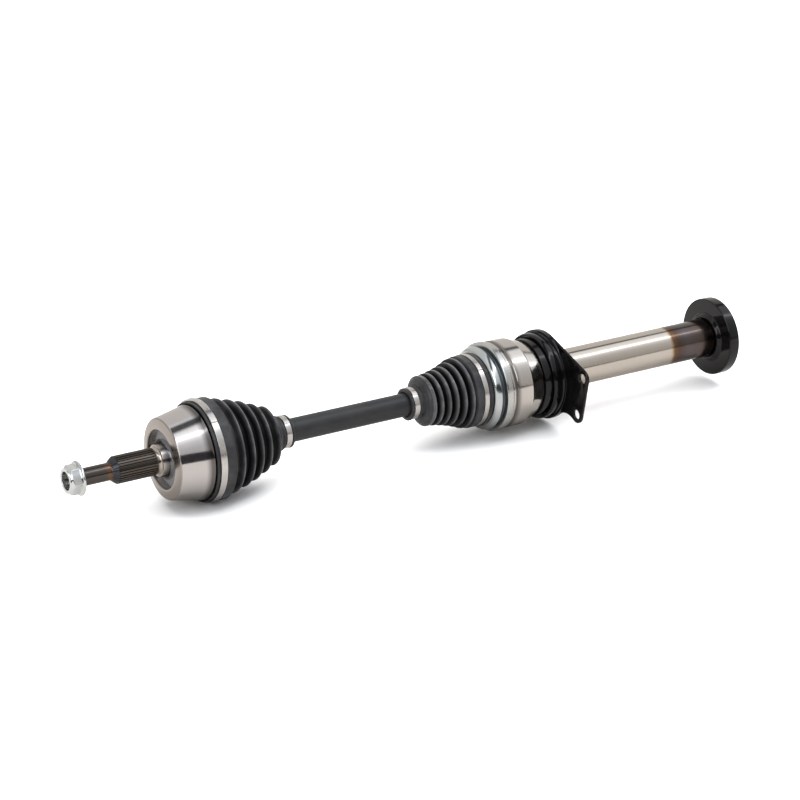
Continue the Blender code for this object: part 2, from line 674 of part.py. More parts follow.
def build_outer_boot():
    """Folded boot from the bell to the half shaft, and its two clamps."""
    centre = "outer_joint_centre"
    seat = BELL_SEAT_R + SEAT_GAP
    shaft = SHAFT_R + SEAT_GAP
    clamp_seat = LARGE_CLAMP_R - CLAMP_THICKNESS - SEAT_GAP
    small_end = OUTER_NECK_END - NECK_LIP_LENGTH
    small_start = small_end - SMALL_CLAMP_WIDTH - 2 * SEAT_GAP
    lip_start = BELL_SEAT_START + BOOT_LIP_GAP
    collar = [(BOOT_COLLAR_R, BOOT_COLLAR_START), (BOOT_COLLAR_R, BOOT_COLLAR_END)]
    crests, lining = folds(
        OUTER_CREST_FIRST,
        OUTER_CREST_PITCH,
        OUTER_CREST_RADII,
        FOLD_DEPTH_OUTER,
        collar[-1],
        None,
    )
    shoulder_end = OUTER_NECK_START + NECK_SHOULDER
    shoulder = [(NECK_R + NECK_SHOULDER, OUTER_NECK_START)]
    shoulder += [(NECK_R + NECK_SHOULDER - NECK_SHOULDER_STEP, shoulder_end)]
    outside = [
        (BOOT_LIP_R, lip_start),
        (BOOT_LIP_R, BOOT_LIP_END),
        (clamp_seat, BOOT_LIP_END),
        (clamp_seat, BOOT_COLLAR_START),
    ]
    neck = [
        (NECK_R, shoulder_end + NECK_SHOULDER_STEP),
        (NECK_R, small_start),
        (NECK_CLAMP_SEAT_R, small_start),
        (NECK_CLAMP_SEAT_R, small_end),
        (NECK_R, small_end),
        (NECK_R, OUTER_NECK_END),
    ]
    rim = BELL_CENTRE_TO_RIM + SEAT_GAP
    hollow = [(seat, lip_start), (seat, rim), (BOOT_COLLAR_R - WALL_BOOT, rim + WALL_BOOT)]
    hollow += [(BOOT_COLLAR_R - WALL_BOOT, BOOT_COLLAR_END - EDGE)] + lining
    hollow += [(NECK_R + NECK_SHOULDER - WALL_BOOT, OUTER_NECK_START - EDGE), (shaft, shoulder_end)]
    hollow += [(shaft, OUTER_NECK_END)]
    profile = outside + collar + crests + shoulder + neck + hollow[::-1]
    turned("outer_boot", profile, centre, "boot_rubber")
    large = band(
        LARGE_CLAMP_R - CLAMP_THICKNESS,
        LARGE_CLAMP_R,
        BOOT_COLLAR_START - SEAT_GAP - LARGE_CLAMP_WIDTH,
        BOOT_COLLAR_START - SEAT_GAP,
    )
    turned("outer_boot_large_clamp", large, centre, "clamp_steel")
    small = band(
        NECK_CLAMP_SEAT_R + SEAT_GAP,
        NECK_CLAMP_SEAT_R + SEAT_GAP + CLAMP_THICKNESS,
        small_start + SEAT_GAP,
        small_end - SEAT_GAP,
    )
    turned("outer_boot_small_clamp", small, centre, "clamp_steel")


def build_inner_boot():
    """Folded boot from the half shaft to the can, and its two clamps."""
    centre = "tripod_centre"
    seat = CAN_NECK_R + SEAT_GAP
    shaft = SHAFT_R + SEAT_GAP
    small_start = INNER_NECK_START + 2 * NECK_LIP_LENGTH
    small_end = small_start + SMALL_CLAMP_WIDTH + 2 * SEAT_GAP
    clamp_start = INNER_LIP_END - INNER_LIP_LENGTH - INNER_CLAMP_WIDTH - 2 * SEAT_GAP
    clamp_end = INNER_LIP_END - INNER_LIP_LENGTH
    clamp_seat = INNER_COLLAR_R - CLAMP_THICKNESS - SEAT_GAP
    dome = [
        (NECK_R + INNER_DOME_LIP, INNER_FOLD_START - EDGE),
        (INNER_CREST_RADII[0] - INNER_DOME_RISE, INNER_FOLD_START + EDGE / 2),
        (INNER_CREST_RADII[0] - INNER_DOME_ROUND, INNER_FOLD_START + INNER_DOME_LENGTH),
    ]
    crests, lining = folds(
        INNER_CREST_FIRST,
        INNER_CREST_PITCH,
        INNER_CREST_RADII,
        FOLD_DEPTH_INNER,
        dome[-1],
        (INNER_COLLAR_R, INNER_COLLAR_START),
    )
    neck = [
        (NECK_R, INNER_NECK_START),
        (NECK_R, small_start),
        (NECK_CLAMP_SEAT_R, small_start),
        (NECK_CLAMP_SEAT_R, small_end),
        (NECK_R, small_end),
        (NECK_R, INNER_FOLD_START - 2 * EDGE),
    ]
    large = [
        (INNER_COLLAR_R, INNER_COLLAR_START),
        (INNER_COLLAR_R, clamp_start),
        (clamp_seat, clamp_start),
        (clamp_seat, clamp_end),
        (INNER_LIP_R, clamp_end),
        (INNER_LIP_R, INNER_LIP_END),
    ]
    hollow = [(shaft, INNER_NECK_START), (shaft, INNER_FOLD_START - EDGE / 2)]
    hollow += [(dome[-1][0] - WALL_BOOT, dome[-1][1])] + lining[1:]
    hollow += [(INNER_COLLAR_R - WALL_BOOT, INNER_COLLAR_START + EDGE)]
    hollow += [(seat, CAN_NECK_START - SEAT_GAP), (seat, INNER_LIP_END)]
    profile = neck + dome + crests[1:] + large + hollow[::-1]
    turned("inner_boot", profile, centre, "boot_rubber")
    band_large = band(
        clamp_seat + SEAT_GAP,
        clamp_seat + SEAT_GAP + CLAMP_THICKNESS,
        clamp_start + SEAT_GAP,
        clamp_end - SEAT_GAP,
    )
    turned("inner_boot_large_clamp", band_large, centre, "clamp_steel")
    band_small = band(
        NECK_CLAMP_SEAT_R + SEAT_GAP,
        NECK_CLAMP_SEAT_R + SEAT_GAP + CLAMP_THICKNESS,
        small_start + SEAT_GAP,
        small_end - SEAT_GAP,
    )
    turned("inner_boot_small_clamp", band_small, centre, "clamp_steel")


def track_outline():
    """The three-lobed hollow that the rollers slide in."""
    rib_r = TRACK_HALF_WIDTH / math.sin(math.pi / 3)
    points = []
    for angle in spaced(3):
        side = angle - math.pi / 3
        points.append((rib_r * math.cos(side), rib_r * math.sin(side)))
        for i in range(TRACK_SEGMENTS + 1):
            turn = angle - math.pi / 2 + math.pi * i / TRACK_SEGMENTS
            points.append(
                (
                    ROLLER_PITCH_R * math.cos(angle) + TRACK_HALF_WIDTH * math.cos(turn),
                    ROLLER_PITCH_R * math.sin(angle) + TRACK_HALF_WIDTH * math.sin(turn),
                )
            )
    return points


def build_tripod_housing():
    """Housing with three roller tracks, and the pressed can rolled over its mouth."""
    centre = "tripod_centre"
    groove_end = HOUSING_GROOVE_START + HOUSING_GROOVE_WIDTH
    groove_r = HOUSING_R - HOUSING_GROOVE_DEPTH
    nose_end = HOUSING_FRONT + HOUSING_NOSE_CHAMFER_LENGTH
    profile = [
        (0, HOUSING_FRONT),
        (HOUSING_NOSE_R - HOUSING_NOSE_CHAMFER, HOUSING_FRONT),
        (HOUSING_NOSE_R, nose_end),
        (HOUSING_NOSE_R, HOUSING_STEP),
        (HOUSING_R, HOUSING_STEP),
        (HOUSING_R, HOUSING_GROOVE_START),
        (groove_r, HOUSING_GROOVE_START + HOUSING_GROOVE_DEPTH),
        (groove_r, groove_end - HOUSING_GROOVE_DEPTH),
        (HOUSING_R, groove_end),
        (HOUSING_R, HOUSING_CYLINDER_END),
        (HOUSING_R - HOUSING_CHAMFER, HOUSING_CYLINDER_END + 2 * HOUSING_CHAMFER),
        (HOUSING_CONE_R + HOUSING_CONE_CHAMFER, HOUSING_CONE_END - HOUSING_CONE_CHAMFER_LENGTH),
        (HOUSING_CONE_R, HOUSING_CONE_END),
        (SHOULDER_R, HOUSING_CONE_END),
        (SHOULDER_R, WELD),
        (0, WELD),
    ]
    housing = turned("tripod_housing", profile, centre, "turned_steel")
    tracks = prism("roller_tracks", track_outline(), HOUSING_FRONT - CUT_PAST, TRACK_END, centre)
    combine(housing, tracks, "DIFFERENCE")
    bore = turned(
        "spring_bore",
        [(0, 0), (SPRING_BORE_R, 0), (SPRING_BORE_R, WELD + CUT_PAST), (0, WELD + CUT_PAST)],
        centre,
        None,
    )
    combine(housing, bore, "DIFFERENCE")
    roll_end = HOUSING_STEP - SEAT_GAP
    outside = [
        (CAN_NECK_R, CAN_NECK_START),
        (CAN_NECK_R, CAN_DOME_START),
        (CAN_DOME_R, CAN_DOME_START),
        (CAN_COVE_R, HOUSING_FRONT - SEAT_GAP),
        (CAN_R - CAN_ROLL_EDGE, nose_end),
        (CAN_R, CAN_ROLL_START),
        (CAN_R, roll_end - CAN_ROLL_EDGE),
        (CAN_R - CAN_ROLL_EDGE, roll_end),
    ]
    nose = HOUSING_NOSE_R + SEAT_GAP
    neck = CAN_NECK_R - CAN_WALL
    inside = [
        (nose, roll_end),
        (nose, nose_end - 2 * SEAT_GAP),
        (nose - HOUSING_NOSE_CHAMFER, HOUSING_FRONT - 2 * SEAT_GAP),
        (CAN_DOME_R - CAN_WALL, CAN_DOME_START + CAN_WALL),
        (neck, CAN_DOME_START + CAN_WALL),
        (neck, CAN_NECK_START),
    ]
    turned("boot_can", outside + inside, centre, "zinc")


def build_spider():
    """Tripod spider with its rollers, needles, retaining rings and clip, and the sprung cup."""
    centre = "tripod_centre"
    bore = SHAFT_SPLINE_R + SEAT_GAP
    hub = band(bore, HUB_R, -HUB_HALF_WIDTH, HUB_HALF_WIDTH)
    spider = turned("tripod_spider", hub, centre, "ground_steel")
    ring_start = ROLLER_PITCH_R + ROLLER_HALF_WIDTH + SEAT_GAP
    ring_end = ring_start + ROLLER_RING_WIDTH
    neck_r = TRUNNION_R - ROLLER_RING_DEPTH
    needles = TRUNNION_R + 2 * NEEDLE_R
    middle = ROLLER_PITCH_R
    half = ROLLER_HALF_WIDTH
    for number, angle in enumerate(spaced(3), 1):
        trunnion = turned(
            f"trunnion_{number}",
            [
                (0, (bore + HUB_R) / 2),
                (TRUNNION_R, (bore + HUB_R) / 2),
                (TRUNNION_R, ring_start - SEAT_GAP / 2),
                (neck_r, ring_start - SEAT_GAP / 2),
                (neck_r, ring_end + SEAT_GAP / 2),
                (TRUNNION_R, ring_end + SEAT_GAP / 2),
                (TRUNNION_R - EDGE, ring_end + EDGE),
                (0, ring_end + EDGE),
            ],
            centre,
            None,
            CROSS_STEPS,
        )
        point_outward(trunnion, angle)
        combine(spider, trunnion, "UNION")
        profile = sphere_arc(ROLLER_R, -half, half, 4)
        profile += [(needles + SEAT_GAP, half), (needles + SEAT_GAP, -half)]
        roller = turned(f"tripod_roller_{number}", profile, centre, "ground_steel", CROSS_STEPS)
        point_outward(roller, angle, middle)
        sleeve = band(TRUNNION_R + SEAT_GAP, needles, NEEDLE_END_GAP - half, half - NEEDLE_END_GAP)
        needle_set = turned(f"roller_needles_{number}", sleeve, centre, "ground_steel", CROSS_STEPS)
        point_outward(needle_set, angle, middle)
        washer = band(neck_r + SEAT_GAP, needles + ROLLER_RING_PROUD, ring_start, ring_end)
        ring = turned(f"roller_ring_{number}", washer, centre, "spring_steel", CROSS_STEPS)
        point_outward(ring, angle)
    clip = circlip_profile(HUB_HALF_WIDTH + SEAT_GAP)
    turned("spider_circlip", clip, centre, "spring_steel")
    dish_r = SHAFT_DOME_R + SEAT_GAP
    rim = math.degrees(math.acos(THRUST_CUP_R / dish_r))
    profile = [(0, THRUST_CUP_END), (THRUST_CUP_R, THRUST_CUP_END)]
    profile += arc(0, 0, dish_r, rim, 90, 3)[:-1]
    profile += [(0, dish_r)]
    turned("thrust_cup", profile, centre, "ground_steel")
    build_spring()


def build_spring():
    """Compression spring between the thrust cup and the plug in the tube."""
    start = THRUST_CUP_END + SEAT_GAP + SPRING_WIRE_R
    end = TRIPOD_TO_BEARING + SEAT_GAP - SPRING_WIRE_R
    curve = bpy.data.curves.new("thrust_spring", "CURVE")
    curve.dimensions = "3D"
    curve.bevel_depth = SPRING_WIRE_R * MM
    curve.bevel_resolution = 0
    curve.use_fill_caps = True
    count = SPRING_TURNS * SPRING_STEPS
    spline = curve.splines.new("POLY")
    spline.points.add(count)
    for i in range(count + 1):
        turn = math.tau * SPRING_TURNS * i / count
        station = start + (end - start) * i / count
        spot = Vector((SPRING_R * math.cos(turn), SPRING_R * math.sin(turn), station)) * MM
        spline.points[i].co = (*spot, 1)
    place("thrust_spring", curve, "tripod_centre", "spring_steel")


def build_bearing():
    """Deep-groove ball bearing with its cage, two seals, clip and dust shield."""
    centre = "bearing_centre"
    half = BEARING_WIDTH / 2
    groove = BEARING_BALL_R + SEAT_GAP
    outer_groove = (BEARING_PITCH_R + groove) * FLAT_ROOM - BEARING_PITCH_R
    lands = BEARING_PITCH_R - BEARING_BORE_R - RING_WALL
    dip = math.degrees(math.acos(lands / groove))
    outer_dip = math.degrees(math.acos(lands / outer_groove))
    profile = band(BEARING_BORE_R, BEARING_BORE_R + RING_WALL, -half, half)
    inner = [profile[3], profile[0], profile[1]]
    inner += arc(BEARING_PITCH_R, 0, groove, 180 + dip, 180 - dip, 4) + [profile[2]]
    turned("bearing_inner_ring", inner, centre, "ground_steel")
    profile = band(BEARING_OUTER_R - RING_WALL, BEARING_OUTER_R, -half, half)
    outer = [profile[0], profile[1], profile[2], profile[3]]
    outer += arc(BEARING_PITCH_R, 0, outer_groove, outer_dip, -outer_dip, 4)
    turned("bearing_outer_ring", outer, centre, "ground_steel")
    wall = BEARING_CAGE_WALL / 2
    pocket_r = groove / math.cos(math.pi / POCKET_STEPS)
    reach = BEARING_CAGE_WALL + CUT_PAST
    sleeve = band(
        BEARING_PITCH_R - wall,
        BEARING_PITCH_R + wall,
        -BEARING_CAGE_HALF_WIDTH,
        BEARING_CAGE_HALF_WIDTH,
    )
    cage = turned("bearing_cage", sleeve, centre, "cage_polymer")
    for number, angle in enumerate(spaced(BEARING_BALL_COUNT), 1):
        outline = circle((0, 0), pocket_r, POCKET_STEPS)
        pocket = prism("cage_pocket", outline, BEARING_PITCH_R - reach, BEARING_PITCH_R + reach, centre)
        point_outward(pocket, angle)
        combine(cage, pocket, "DIFFERENCE")
        ball(
            f"bearing_ball_{number}",
            BEARING_BALL_R,
            BEARING_BALL_COLUMNS,
            BEARING_PITCH_R,
            angle,
            centre,
            "ground_steel",
        )
    seal_in = (BEARING_BORE_R + RING_WALL) * FLAT_ROOM + SEAT_GAP
    seal_out = BEARING_OUTER_R - RING_WALL - SEAT_GAP
    seal_end = half - SEAL_RECESS
    for side, start in (("outboard", -seal_end), ("inboard", seal_end - SEAL_WIDTH)):
        strip = band(seal_in, seal_out, start, start + SEAL_WIDTH)
        turned(f"bearing_seal_{side}", strip, centre, "seal_rubber")
    clip_start = half + SEAT_GAP
    clip = band(
        BEARING_SEAT_R - BEARING_CLIP_DEPTH + SEAT_GAP,
        BEARING_SEAT_R + BEARING_CLIP_PROUD,
        clip_start,
        clip_start + CIRCLIP_WIDTH,
    )
    turned("bearing_circlip", clip, centre, "spring_steel")
    shield_end = -half - SEAT_GAP - DUST_SHIELD_GAP
    shield = band(
        SHOULDER_R + SEAT_GAP,
        CUP_LIP_R / FLAT_ROOM - SEAT_GAP,
        shield_end - DUST_SHIELD_WIDTH,
        shield_end,
    )
    turned("bearing_dust_shield", shield, centre, "black_paint")


def circle(centre, radius, count):
    """Points round a circle."""
    angles = spaced(count, 0.0)
    return [(centre[0] + radius * math.cos(a), centre[1] + radius * math.sin(a)) for a in angles]


def notch_centre():
    """The centre of a circle that touches the round plate and the lower lobe from outside."""
    reach_plate = PLATE_R + NOTCH_R
    reach_lobe = LOWER_LOBE_R + NOTCH_R
    lobe = Vector(LOWER_HOLE)
    span = lobe.length
    along = (span**2 + reach_plate**2 - reach_lobe**2) / (2 * span)
    aside = math.sqrt(reach_plate**2 - along**2)
    ahead = lobe / span
    return ahead * along + Vector((-ahead.y, ahead.x)) * aside


def build_bearing_housing():
    """Pressed cup and flange plate with one lobe that has two bolt holes."""
    centre = "bearing_centre"
    plate_back = PLATE_FRONT + PLATE_THICKNESS
    form = bmesh.new()
    outline = circle((0, 0), PLATE_R, STEPS)
    outline += circle(UPPER_HOLE, UPPER_LOBE_R, STEPS) + circle(LOWER_HOLE, LOWER_LOBE_R, STEPS)
    for station in (PLATE_FRONT, plate_back):
        for x, y in outline:
            form.verts.new((x * MM, y * MM, station * MM))
    hull = bmesh.ops.convex_hull(form, input=form.verts)
    spare = [v for v in hull["geom_interior"] if isinstance(v, bmesh.types.BMVert)]
    bmesh.ops.delete(form, geom=spare, context="VERTS")
    housing = place("bearing_housing", mesh_from("bearing_housing", form), centre, "black_paint")
    ledge = PLATE_FRONT - CUP_LEDGE
    rim_r = PLATE_R - CUP_RIM_STEP
    cup = turned(
        "housing_cup",
        [
            (0, CUP_FRONT),
            (CUP_FRONT_R - CUP_FRONT_EDGE, CUP_FRONT),
            (CUP_FRONT_R, CUP_FRONT + CUP_FRONT_EDGE),
            (CUP_FRONT_R + CUP_WAIST_RISE, CUP_FRONT + CUP_WAIST),
            (CUP_FRONT_R + CUP_NECK_RISE, ledge - CUP_NECK),
            (rim_r - EDGE, ledge - CUP_ROUND),
            (rim_r, ledge),
            (rim_r, PLATE_FRONT + PLATE_THICKNESS / 2),
            (0, PLATE_FRONT + PLATE_THICKNESS / 2),
        ],
        centre,
        None,
    )
    combine(housing, cup, "UNION")
    pocket_r = BEARING_OUTER_R + SEAT_GAP
    floor = -BEARING_WIDTH / 2 - SEAT_GAP
    keeper = BEARING_WIDTH / 2 + SEAT_GAP / 2
    keeper_end = keeper + RETAINER_WIDTH + SEAT_GAP
    groove_r = pocket_r + RETAINER_DEPTH
    bore = turned(
        "housing_bore",
        [
            (0, CUP_FRONT - CUT_PAST),
            (CUP_LIP_R, CUP_FRONT - CUT_PAST),
            (CUP_LIP_R, floor),
            (pocket_r, floor),
            (pocket_r, keeper),
            (groove_r, keeper),
            (groove_r, keeper_end),
            (pocket_r, keeper_end),
            (pocket_r, plate_back + CUT_PAST),
            (0, plate_back + CUT_PAST),
        ],
        centre,
        None,
    )
    combine(housing, bore, "DIFFERENCE")
    for spot in (UPPER_HOLE, LOWER_HOLE):
        outline = circle(spot, BOLT_HOLE_R, CROSS_STEPS)
        hole = prism("bolt_hole", outline, PLATE_FRONT - CUT_PAST, plate_back + CUT_PAST, centre)
        combine(housing, hole, "DIFFERENCE")
    outline = circle(notch_centre(), NOTCH_R, 2 * STEPS)
    notch = prism("lobe_notch", outline, ledge, plate_back + CUT_PAST, centre)
    combine(housing, notch, "DIFFERENCE")
    retainer = band(
        BEARING_OUTER_R - RETAINER_REACH,
        groove_r - SEAT_GAP,
        keeper + SEAT_GAP / 2,
        keeper + SEAT_GAP / 2 + RETAINER_WIDTH,
    )
    turned("bearing_retaining_ring", retainer, centre, "spring_steel")


def build_tube():
    """Tube welded to the tripod housing, with a splined socket, a plug and a seal ring."""
    centre = "bearing_centre"
    start = WELD + SEAT_GAP - TRIPOD_TO_BEARING
    half = BEARING_WIDTH / 2
    shoulder = -half - SEAT_GAP
    clip_r = BEARING_SEAT_R - BEARING_CLIP_DEPTH
    groove_start = half + SEAT_GAP / 2
    groove_end = half + CIRCLIP_WIDTH + 1.5 * SEAT_GAP
    spline_end = TUBE_END - SOCKET_LEAD
    spline_start = spline_end - SOCKET_LENGTH
    profile = [
        (SPRING_BORE_R, start),
        (SHOULDER_R, start),
        (SHOULDER_R, shoulder),
        (BEARING_SEAT_R, shoulder),
        (BEARING_SEAT_R, groove_start),
        (clip_r, groove_start),
        (clip_r, groove_end),
        (BEARING_SEAT_R, groove_end),
        (BEARING_SEAT_R, groove_end + SEAT_PAST_CLIP),
        (TUBE_R, groove_end + SEAT_PAST_CLIP),
        (TUBE_R, TUBE_END),
        (ORING_GROOVE_R, TUBE_END),
        (ORING_GROOVE_R, TUBE_END - ORING_GROOVE_WIDTH),
        (TUBE_BORE_R, TUBE_END - ORING_GROOVE_WIDTH),
        (TUBE_BORE_R, spline_end),
        (SOCKET_MINOR_R, spline_end - SOCKET_CHAMFER),
        (SOCKET_MINOR_R, spline_start),
        (TUBE_BORE_R, spline_start),
        (TUBE_BORE_R, SEAT_GAP),
        (SPRING_BORE_R, SEAT_GAP),
    ]
    tube = turned("intermediate_tube", profile, centre, "turned_steel")
    tip_r = SOCKET_MINOR_R - SPLINE_CORE_GAP
    rings = [(spline_start - CUT_PAST, tip_r, SOCKET_MAJOR_R), (spline_end + CUT_PAST, tip_r, SOCKET_MAJOR_R)]
    combine(tube, toothed_bar("socket_teeth", SOCKET_TEETH, rings, centre), "DIFFERENCE")
    plug_start = 2 * SEAT_GAP
    plug_r = TUBE_BORE_R - SEAT_GAP
    plug = [(0, plug_start), (plug_r, plug_start), (plug_r, plug_start + PLUG_THICKNESS)]
    plug += [(plug_r - PLUG_WALL, plug_start + PLUG_THICKNESS)]
    plug += [(plug_r - PLUG_WALL - EDGE, plug_start + PLUG_FLOOR), (0, plug_start + PLUG_FLOOR)]
    turned("tube_plug", plug, centre, "spring_steel")
    oring = band(
        TUBE_BORE_R + ORING_RECESS,
        ORING_GROOVE_R - SEAT_GAP,
        TUBE_END - ORING_GROOVE_WIDTH + SEAT_GAP,
        TUBE_END - SEAT_GAP,
    )
    turned("socket_seal_ring", oring, centre, "seal_rubber")


def build_disc():
    """Thick dust disc on the inboard end of the tube."""
    bore = TUBE_R + SEAT_GAP
    profile = [
        (bore, -DISC_BOSS_HEIGHT),
        ((bore + DISC_BOSS_R) / 2, -DISC_BOSS_HEIGHT),
        (DISC_BOSS_R, -DISC_BOSS_HEIGHT / 2),
        (DISC_BOSS_R + EDGE, 0),
        (DISC_R - DISC_EDGE, 0),
        (DISC_R, DISC_EDGE),
        (DISC_R, DISC_THICKNESS - DISC_EDGE),
        (DISC_R - DISC_EDGE, DISC_THICKNESS),
        (bore, DISC_THICKNESS),
    ]
    turned("end_disc", profile, "disc_face", "black_paint")


def build():
    """Set the axle line in the world and build every piece on it."""
    global PARTS, CUTTERS
    clear_scene()
    PARTS = new_collection(OBJECT_NAME)
    CUTTERS = new_collection("cutters", hidden=True)
    line = new_centre("nut_face", 0, None)
    line.location = (-OVERALL_LENGTH / 2 * MM, ACROSS_SHIFT * MM, LARGE_CLAMP_R * MM)
    line.rotation_euler = (0, math.pi / 2, 0)
    new_centre("outer_joint_centre", OUTER_CENTRE, line)
    new_centre("tripod_centre", INNER_CENTRE, line)
    new_centre("bearing_centre", BEARING_CENTRE, line)
    new_centre("disc_face", DISC_FACE, line)
    build_nut()
    build_outer_joint()
    build_half_shaft()
    build_outer_boot()
    build_inner_boot()
    build_tripod_housing()
    build_spider()
    build_bearing()
    build_bearing_housing()
    build_tube()
    build_disc()


build()
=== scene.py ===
"""Dressed model of a car's front drive shaft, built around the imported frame.

Lengths are in millimetres unless a name says otherwise. A station is measured along the axle from the
outer face of the nut, a radius from the axle's own line, and an angle round that line from +Y to +Z.
"""

import logging
import math
from collections.abc import Sequence
from dataclasses import dataclass
from enum import Enum
from functools import cache

import bmesh
import bpy
import numpy as np
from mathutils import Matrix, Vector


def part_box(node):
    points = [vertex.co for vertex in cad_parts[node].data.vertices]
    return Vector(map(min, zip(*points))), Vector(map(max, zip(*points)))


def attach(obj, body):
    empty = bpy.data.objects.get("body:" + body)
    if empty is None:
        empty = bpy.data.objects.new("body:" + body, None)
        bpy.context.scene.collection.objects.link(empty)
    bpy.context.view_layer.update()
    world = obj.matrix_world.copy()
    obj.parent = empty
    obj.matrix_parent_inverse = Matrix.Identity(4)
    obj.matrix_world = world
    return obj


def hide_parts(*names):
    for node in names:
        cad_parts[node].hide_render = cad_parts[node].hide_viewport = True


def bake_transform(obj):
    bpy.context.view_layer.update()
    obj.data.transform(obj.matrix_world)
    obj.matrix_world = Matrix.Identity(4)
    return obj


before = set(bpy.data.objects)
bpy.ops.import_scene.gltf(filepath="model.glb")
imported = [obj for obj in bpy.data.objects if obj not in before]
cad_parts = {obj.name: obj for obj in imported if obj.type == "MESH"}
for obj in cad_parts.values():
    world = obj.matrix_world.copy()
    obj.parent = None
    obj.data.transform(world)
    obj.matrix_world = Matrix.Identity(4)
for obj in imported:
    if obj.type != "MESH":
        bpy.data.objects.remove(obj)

Array = np.ndarray
Node = bpy.types.Node
Socket = bpy.types.NodeSocket
Inputs = dict[str | int, object]  # a socket or a value for each input of a node, by name or number
Colour = tuple[float, float, float]
Point = tuple[float, float]  # station and radius
Pair = tuple[float, float]  # two sizes, or from one value to another
Cut = float | Sequence[float]  # cut length at corners, one for all or one each
Rows = tuple[float, float, int]  # from, to and how many
Section = tuple[float, float, float, float]  # from, to, inner and outer radius
Stop = tuple[float, Colour, float]  # station, colour and roughness of a metal
Band = tuple[float, float, Colour]  # place, light and tint of a stretch of sky

MM = 0.001
TURN = 2.0 * math.pi
COLUMNS = 192  # of a turned surface
FINE_COLUMNS = 360  # of a toothed, lobed or six-sided one
SHARP_ANGLE = math.radians(38.0)
MOST_CUT = 0.45  # share of a side that a rounded corner may take
TOUCHING = 1e-6  # points closer than this are one
TOOTH_SWING = 0.95  # of the cosine that makes teeth, before it is clipped
FINE_LINES = 0.7  # share of the lathe lines' height in the fine ones
AXLE_LENGTH = 775.0
CREST_HIGHLIGHT = "crest_highlight"  # attribute of a boot, its painted highlight: 1 on the lit side of the crests of its folds, 0 in the valleys, left dark as painted shade

logging.basicConfig(level=logging.INFO, format="%(message)s")
log = logging.getLogger("drive_shaft")


class Slot(Enum):
    """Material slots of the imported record."""

    ZINC = "zinc"
    TURNED = "turned_steel"
    GROUND = "ground_steel"
    PAINT = "black_paint"
    BAR = "bar_paint"
    RUBBER = "boot_rubber"
    CLAMP = "clamp_steel"
    SPRING = "spring_steel"
    SEAL = "seal_rubber"
    POLYMER = "cage_polymer"


class Body(Enum):
    """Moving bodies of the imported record."""

    CARRIER = "bearing_carrier"
    SHAFT = "intermediate_shaft"
    SLIDER = "thrust_slider"
    TRIPOD = "tripod_pivot"
    BAR = "half_shaft_set"
    STEER = "steer_pivot"
    CAGE = "ball_cage"
    BUMP = "bump_pivot"
    WHEEL = "wheel_stub"


@dataclass(frozen=True)
class AxleLine:
    """The axle's own line in the frame, in metres."""

    start: float
    across: float
    height: float

    def place(self, station: Array, radius: Array, angle: Array) -> Array:
        """Points of the frame at a station and radius, turned by an angle about the axle.

        Args:
            station: millimetres along the axle.
            radius: millimetres from the axle.
            angle: radians from +Y to +Z.

        Returns:
            An array of the joint shape of the three, with x, y and z in metres last.
        """
        x = self.start + np.asarray(station) * MM
        y = self.across + radius * np.cos(angle) * MM
        z = self.height + radius * np.sin(angle) * MM
        return np.stack(np.broadcast_arrays(x, y, z), axis=-1)

    def on_axis(self, station: float) -> tuple[float, float, float]:
        """The point of the line at a station."""
        return self.start + station * MM, self.across, self.height


def find_axle_line() -> AxleLine:
    """The axle's line, read from the boxes of the nut and the bar in the frame.

    Returns:
        The line, from the nut's outer face along the middle of the bar.
    """
    nut_low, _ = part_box("axle_nut")
    low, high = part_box("half_shaft")
    return AxleLine(nut_low.x, (low.y + high.y) / 2, (low.z + high.z) / 2)


LINE = find_axle_line()


def rounded(corners: Sequence[Point], cut: Cut, ring: bool = True, steps: int = 6) -> Array:
    """Polyline with short curves in place of its corners.

    A corner P between A and B becomes the quadratic curve that starts the cut length from P towards A,
    bends towards P and ends that far towards B. A cut takes at most a little under half of a side.

    Args:
        corners: (station, radius) of each corner.
        cut: cut length of the corners.
        ring: whether the last corner joins the first.
        steps: points on each curve.

    Returns:
        Points of the rounded line, one a row.
    """
    points = np.asarray(corners, float)
    before = np.roll(points, 1, axis=0) - points
    after = np.roll(points, -1, axis=0) - points
    before_side = np.linalg.norm(before, axis=1, keepdims=True)
    after_side = np.linalg.norm(after, axis=1, keepdims=True)
    most = MOST_CUT * np.minimum(before_side, after_side)
    length = np.minimum(np.broadcast_to(cut, len(points))[:, None], most)
    if not ring:
        length[[0, -1]] = 0.0
    share = np.linspace(0.0, 1.0, steps)[None, :, None]
    start = (points + before / before_side * length)[:, None]
    end = (points + after / after_side * length)[:, None]
    curve = (1 - share) ** 2 * start + 2 * share * (1 - share) * points[:, None] + share**2 * end
    line = curve.reshape(-1, 2)
    keep = np.linalg.norm(line - np.roll(line, 1, axis=0), axis=1) > TOUCHING
    keep[0] = True
    return line[keep]


def block(start: float, end: float, low: float, high: float) -> list[Point]:
    """Corners of an oblong section between two stations and two radii."""
    return [(start, low), (start, high), (end, high), (end, low)]


def around(columns: int = FINE_COLUMNS) -> Array:
    """One row of even angles round the axle."""
    return np.linspace(0.0, TURN, columns, endpoint=False)[None, :]


def from_nearest(count: int) -> Array:
    """Angle of each column from the nearest of some even directions, the first of which is +Y."""
    step = TURN / count
    return (around() + step / 2) % step - step / 2


def tooth_wave(teeth: int) -> Array:
    """Height of straight teeth at each column: a cosine, clipped to 0 in the roots and 1 on the tips."""
    return np.clip(0.5 + TOOTH_SWING * np.cos(teeth * around()), 0.0, 1.0)


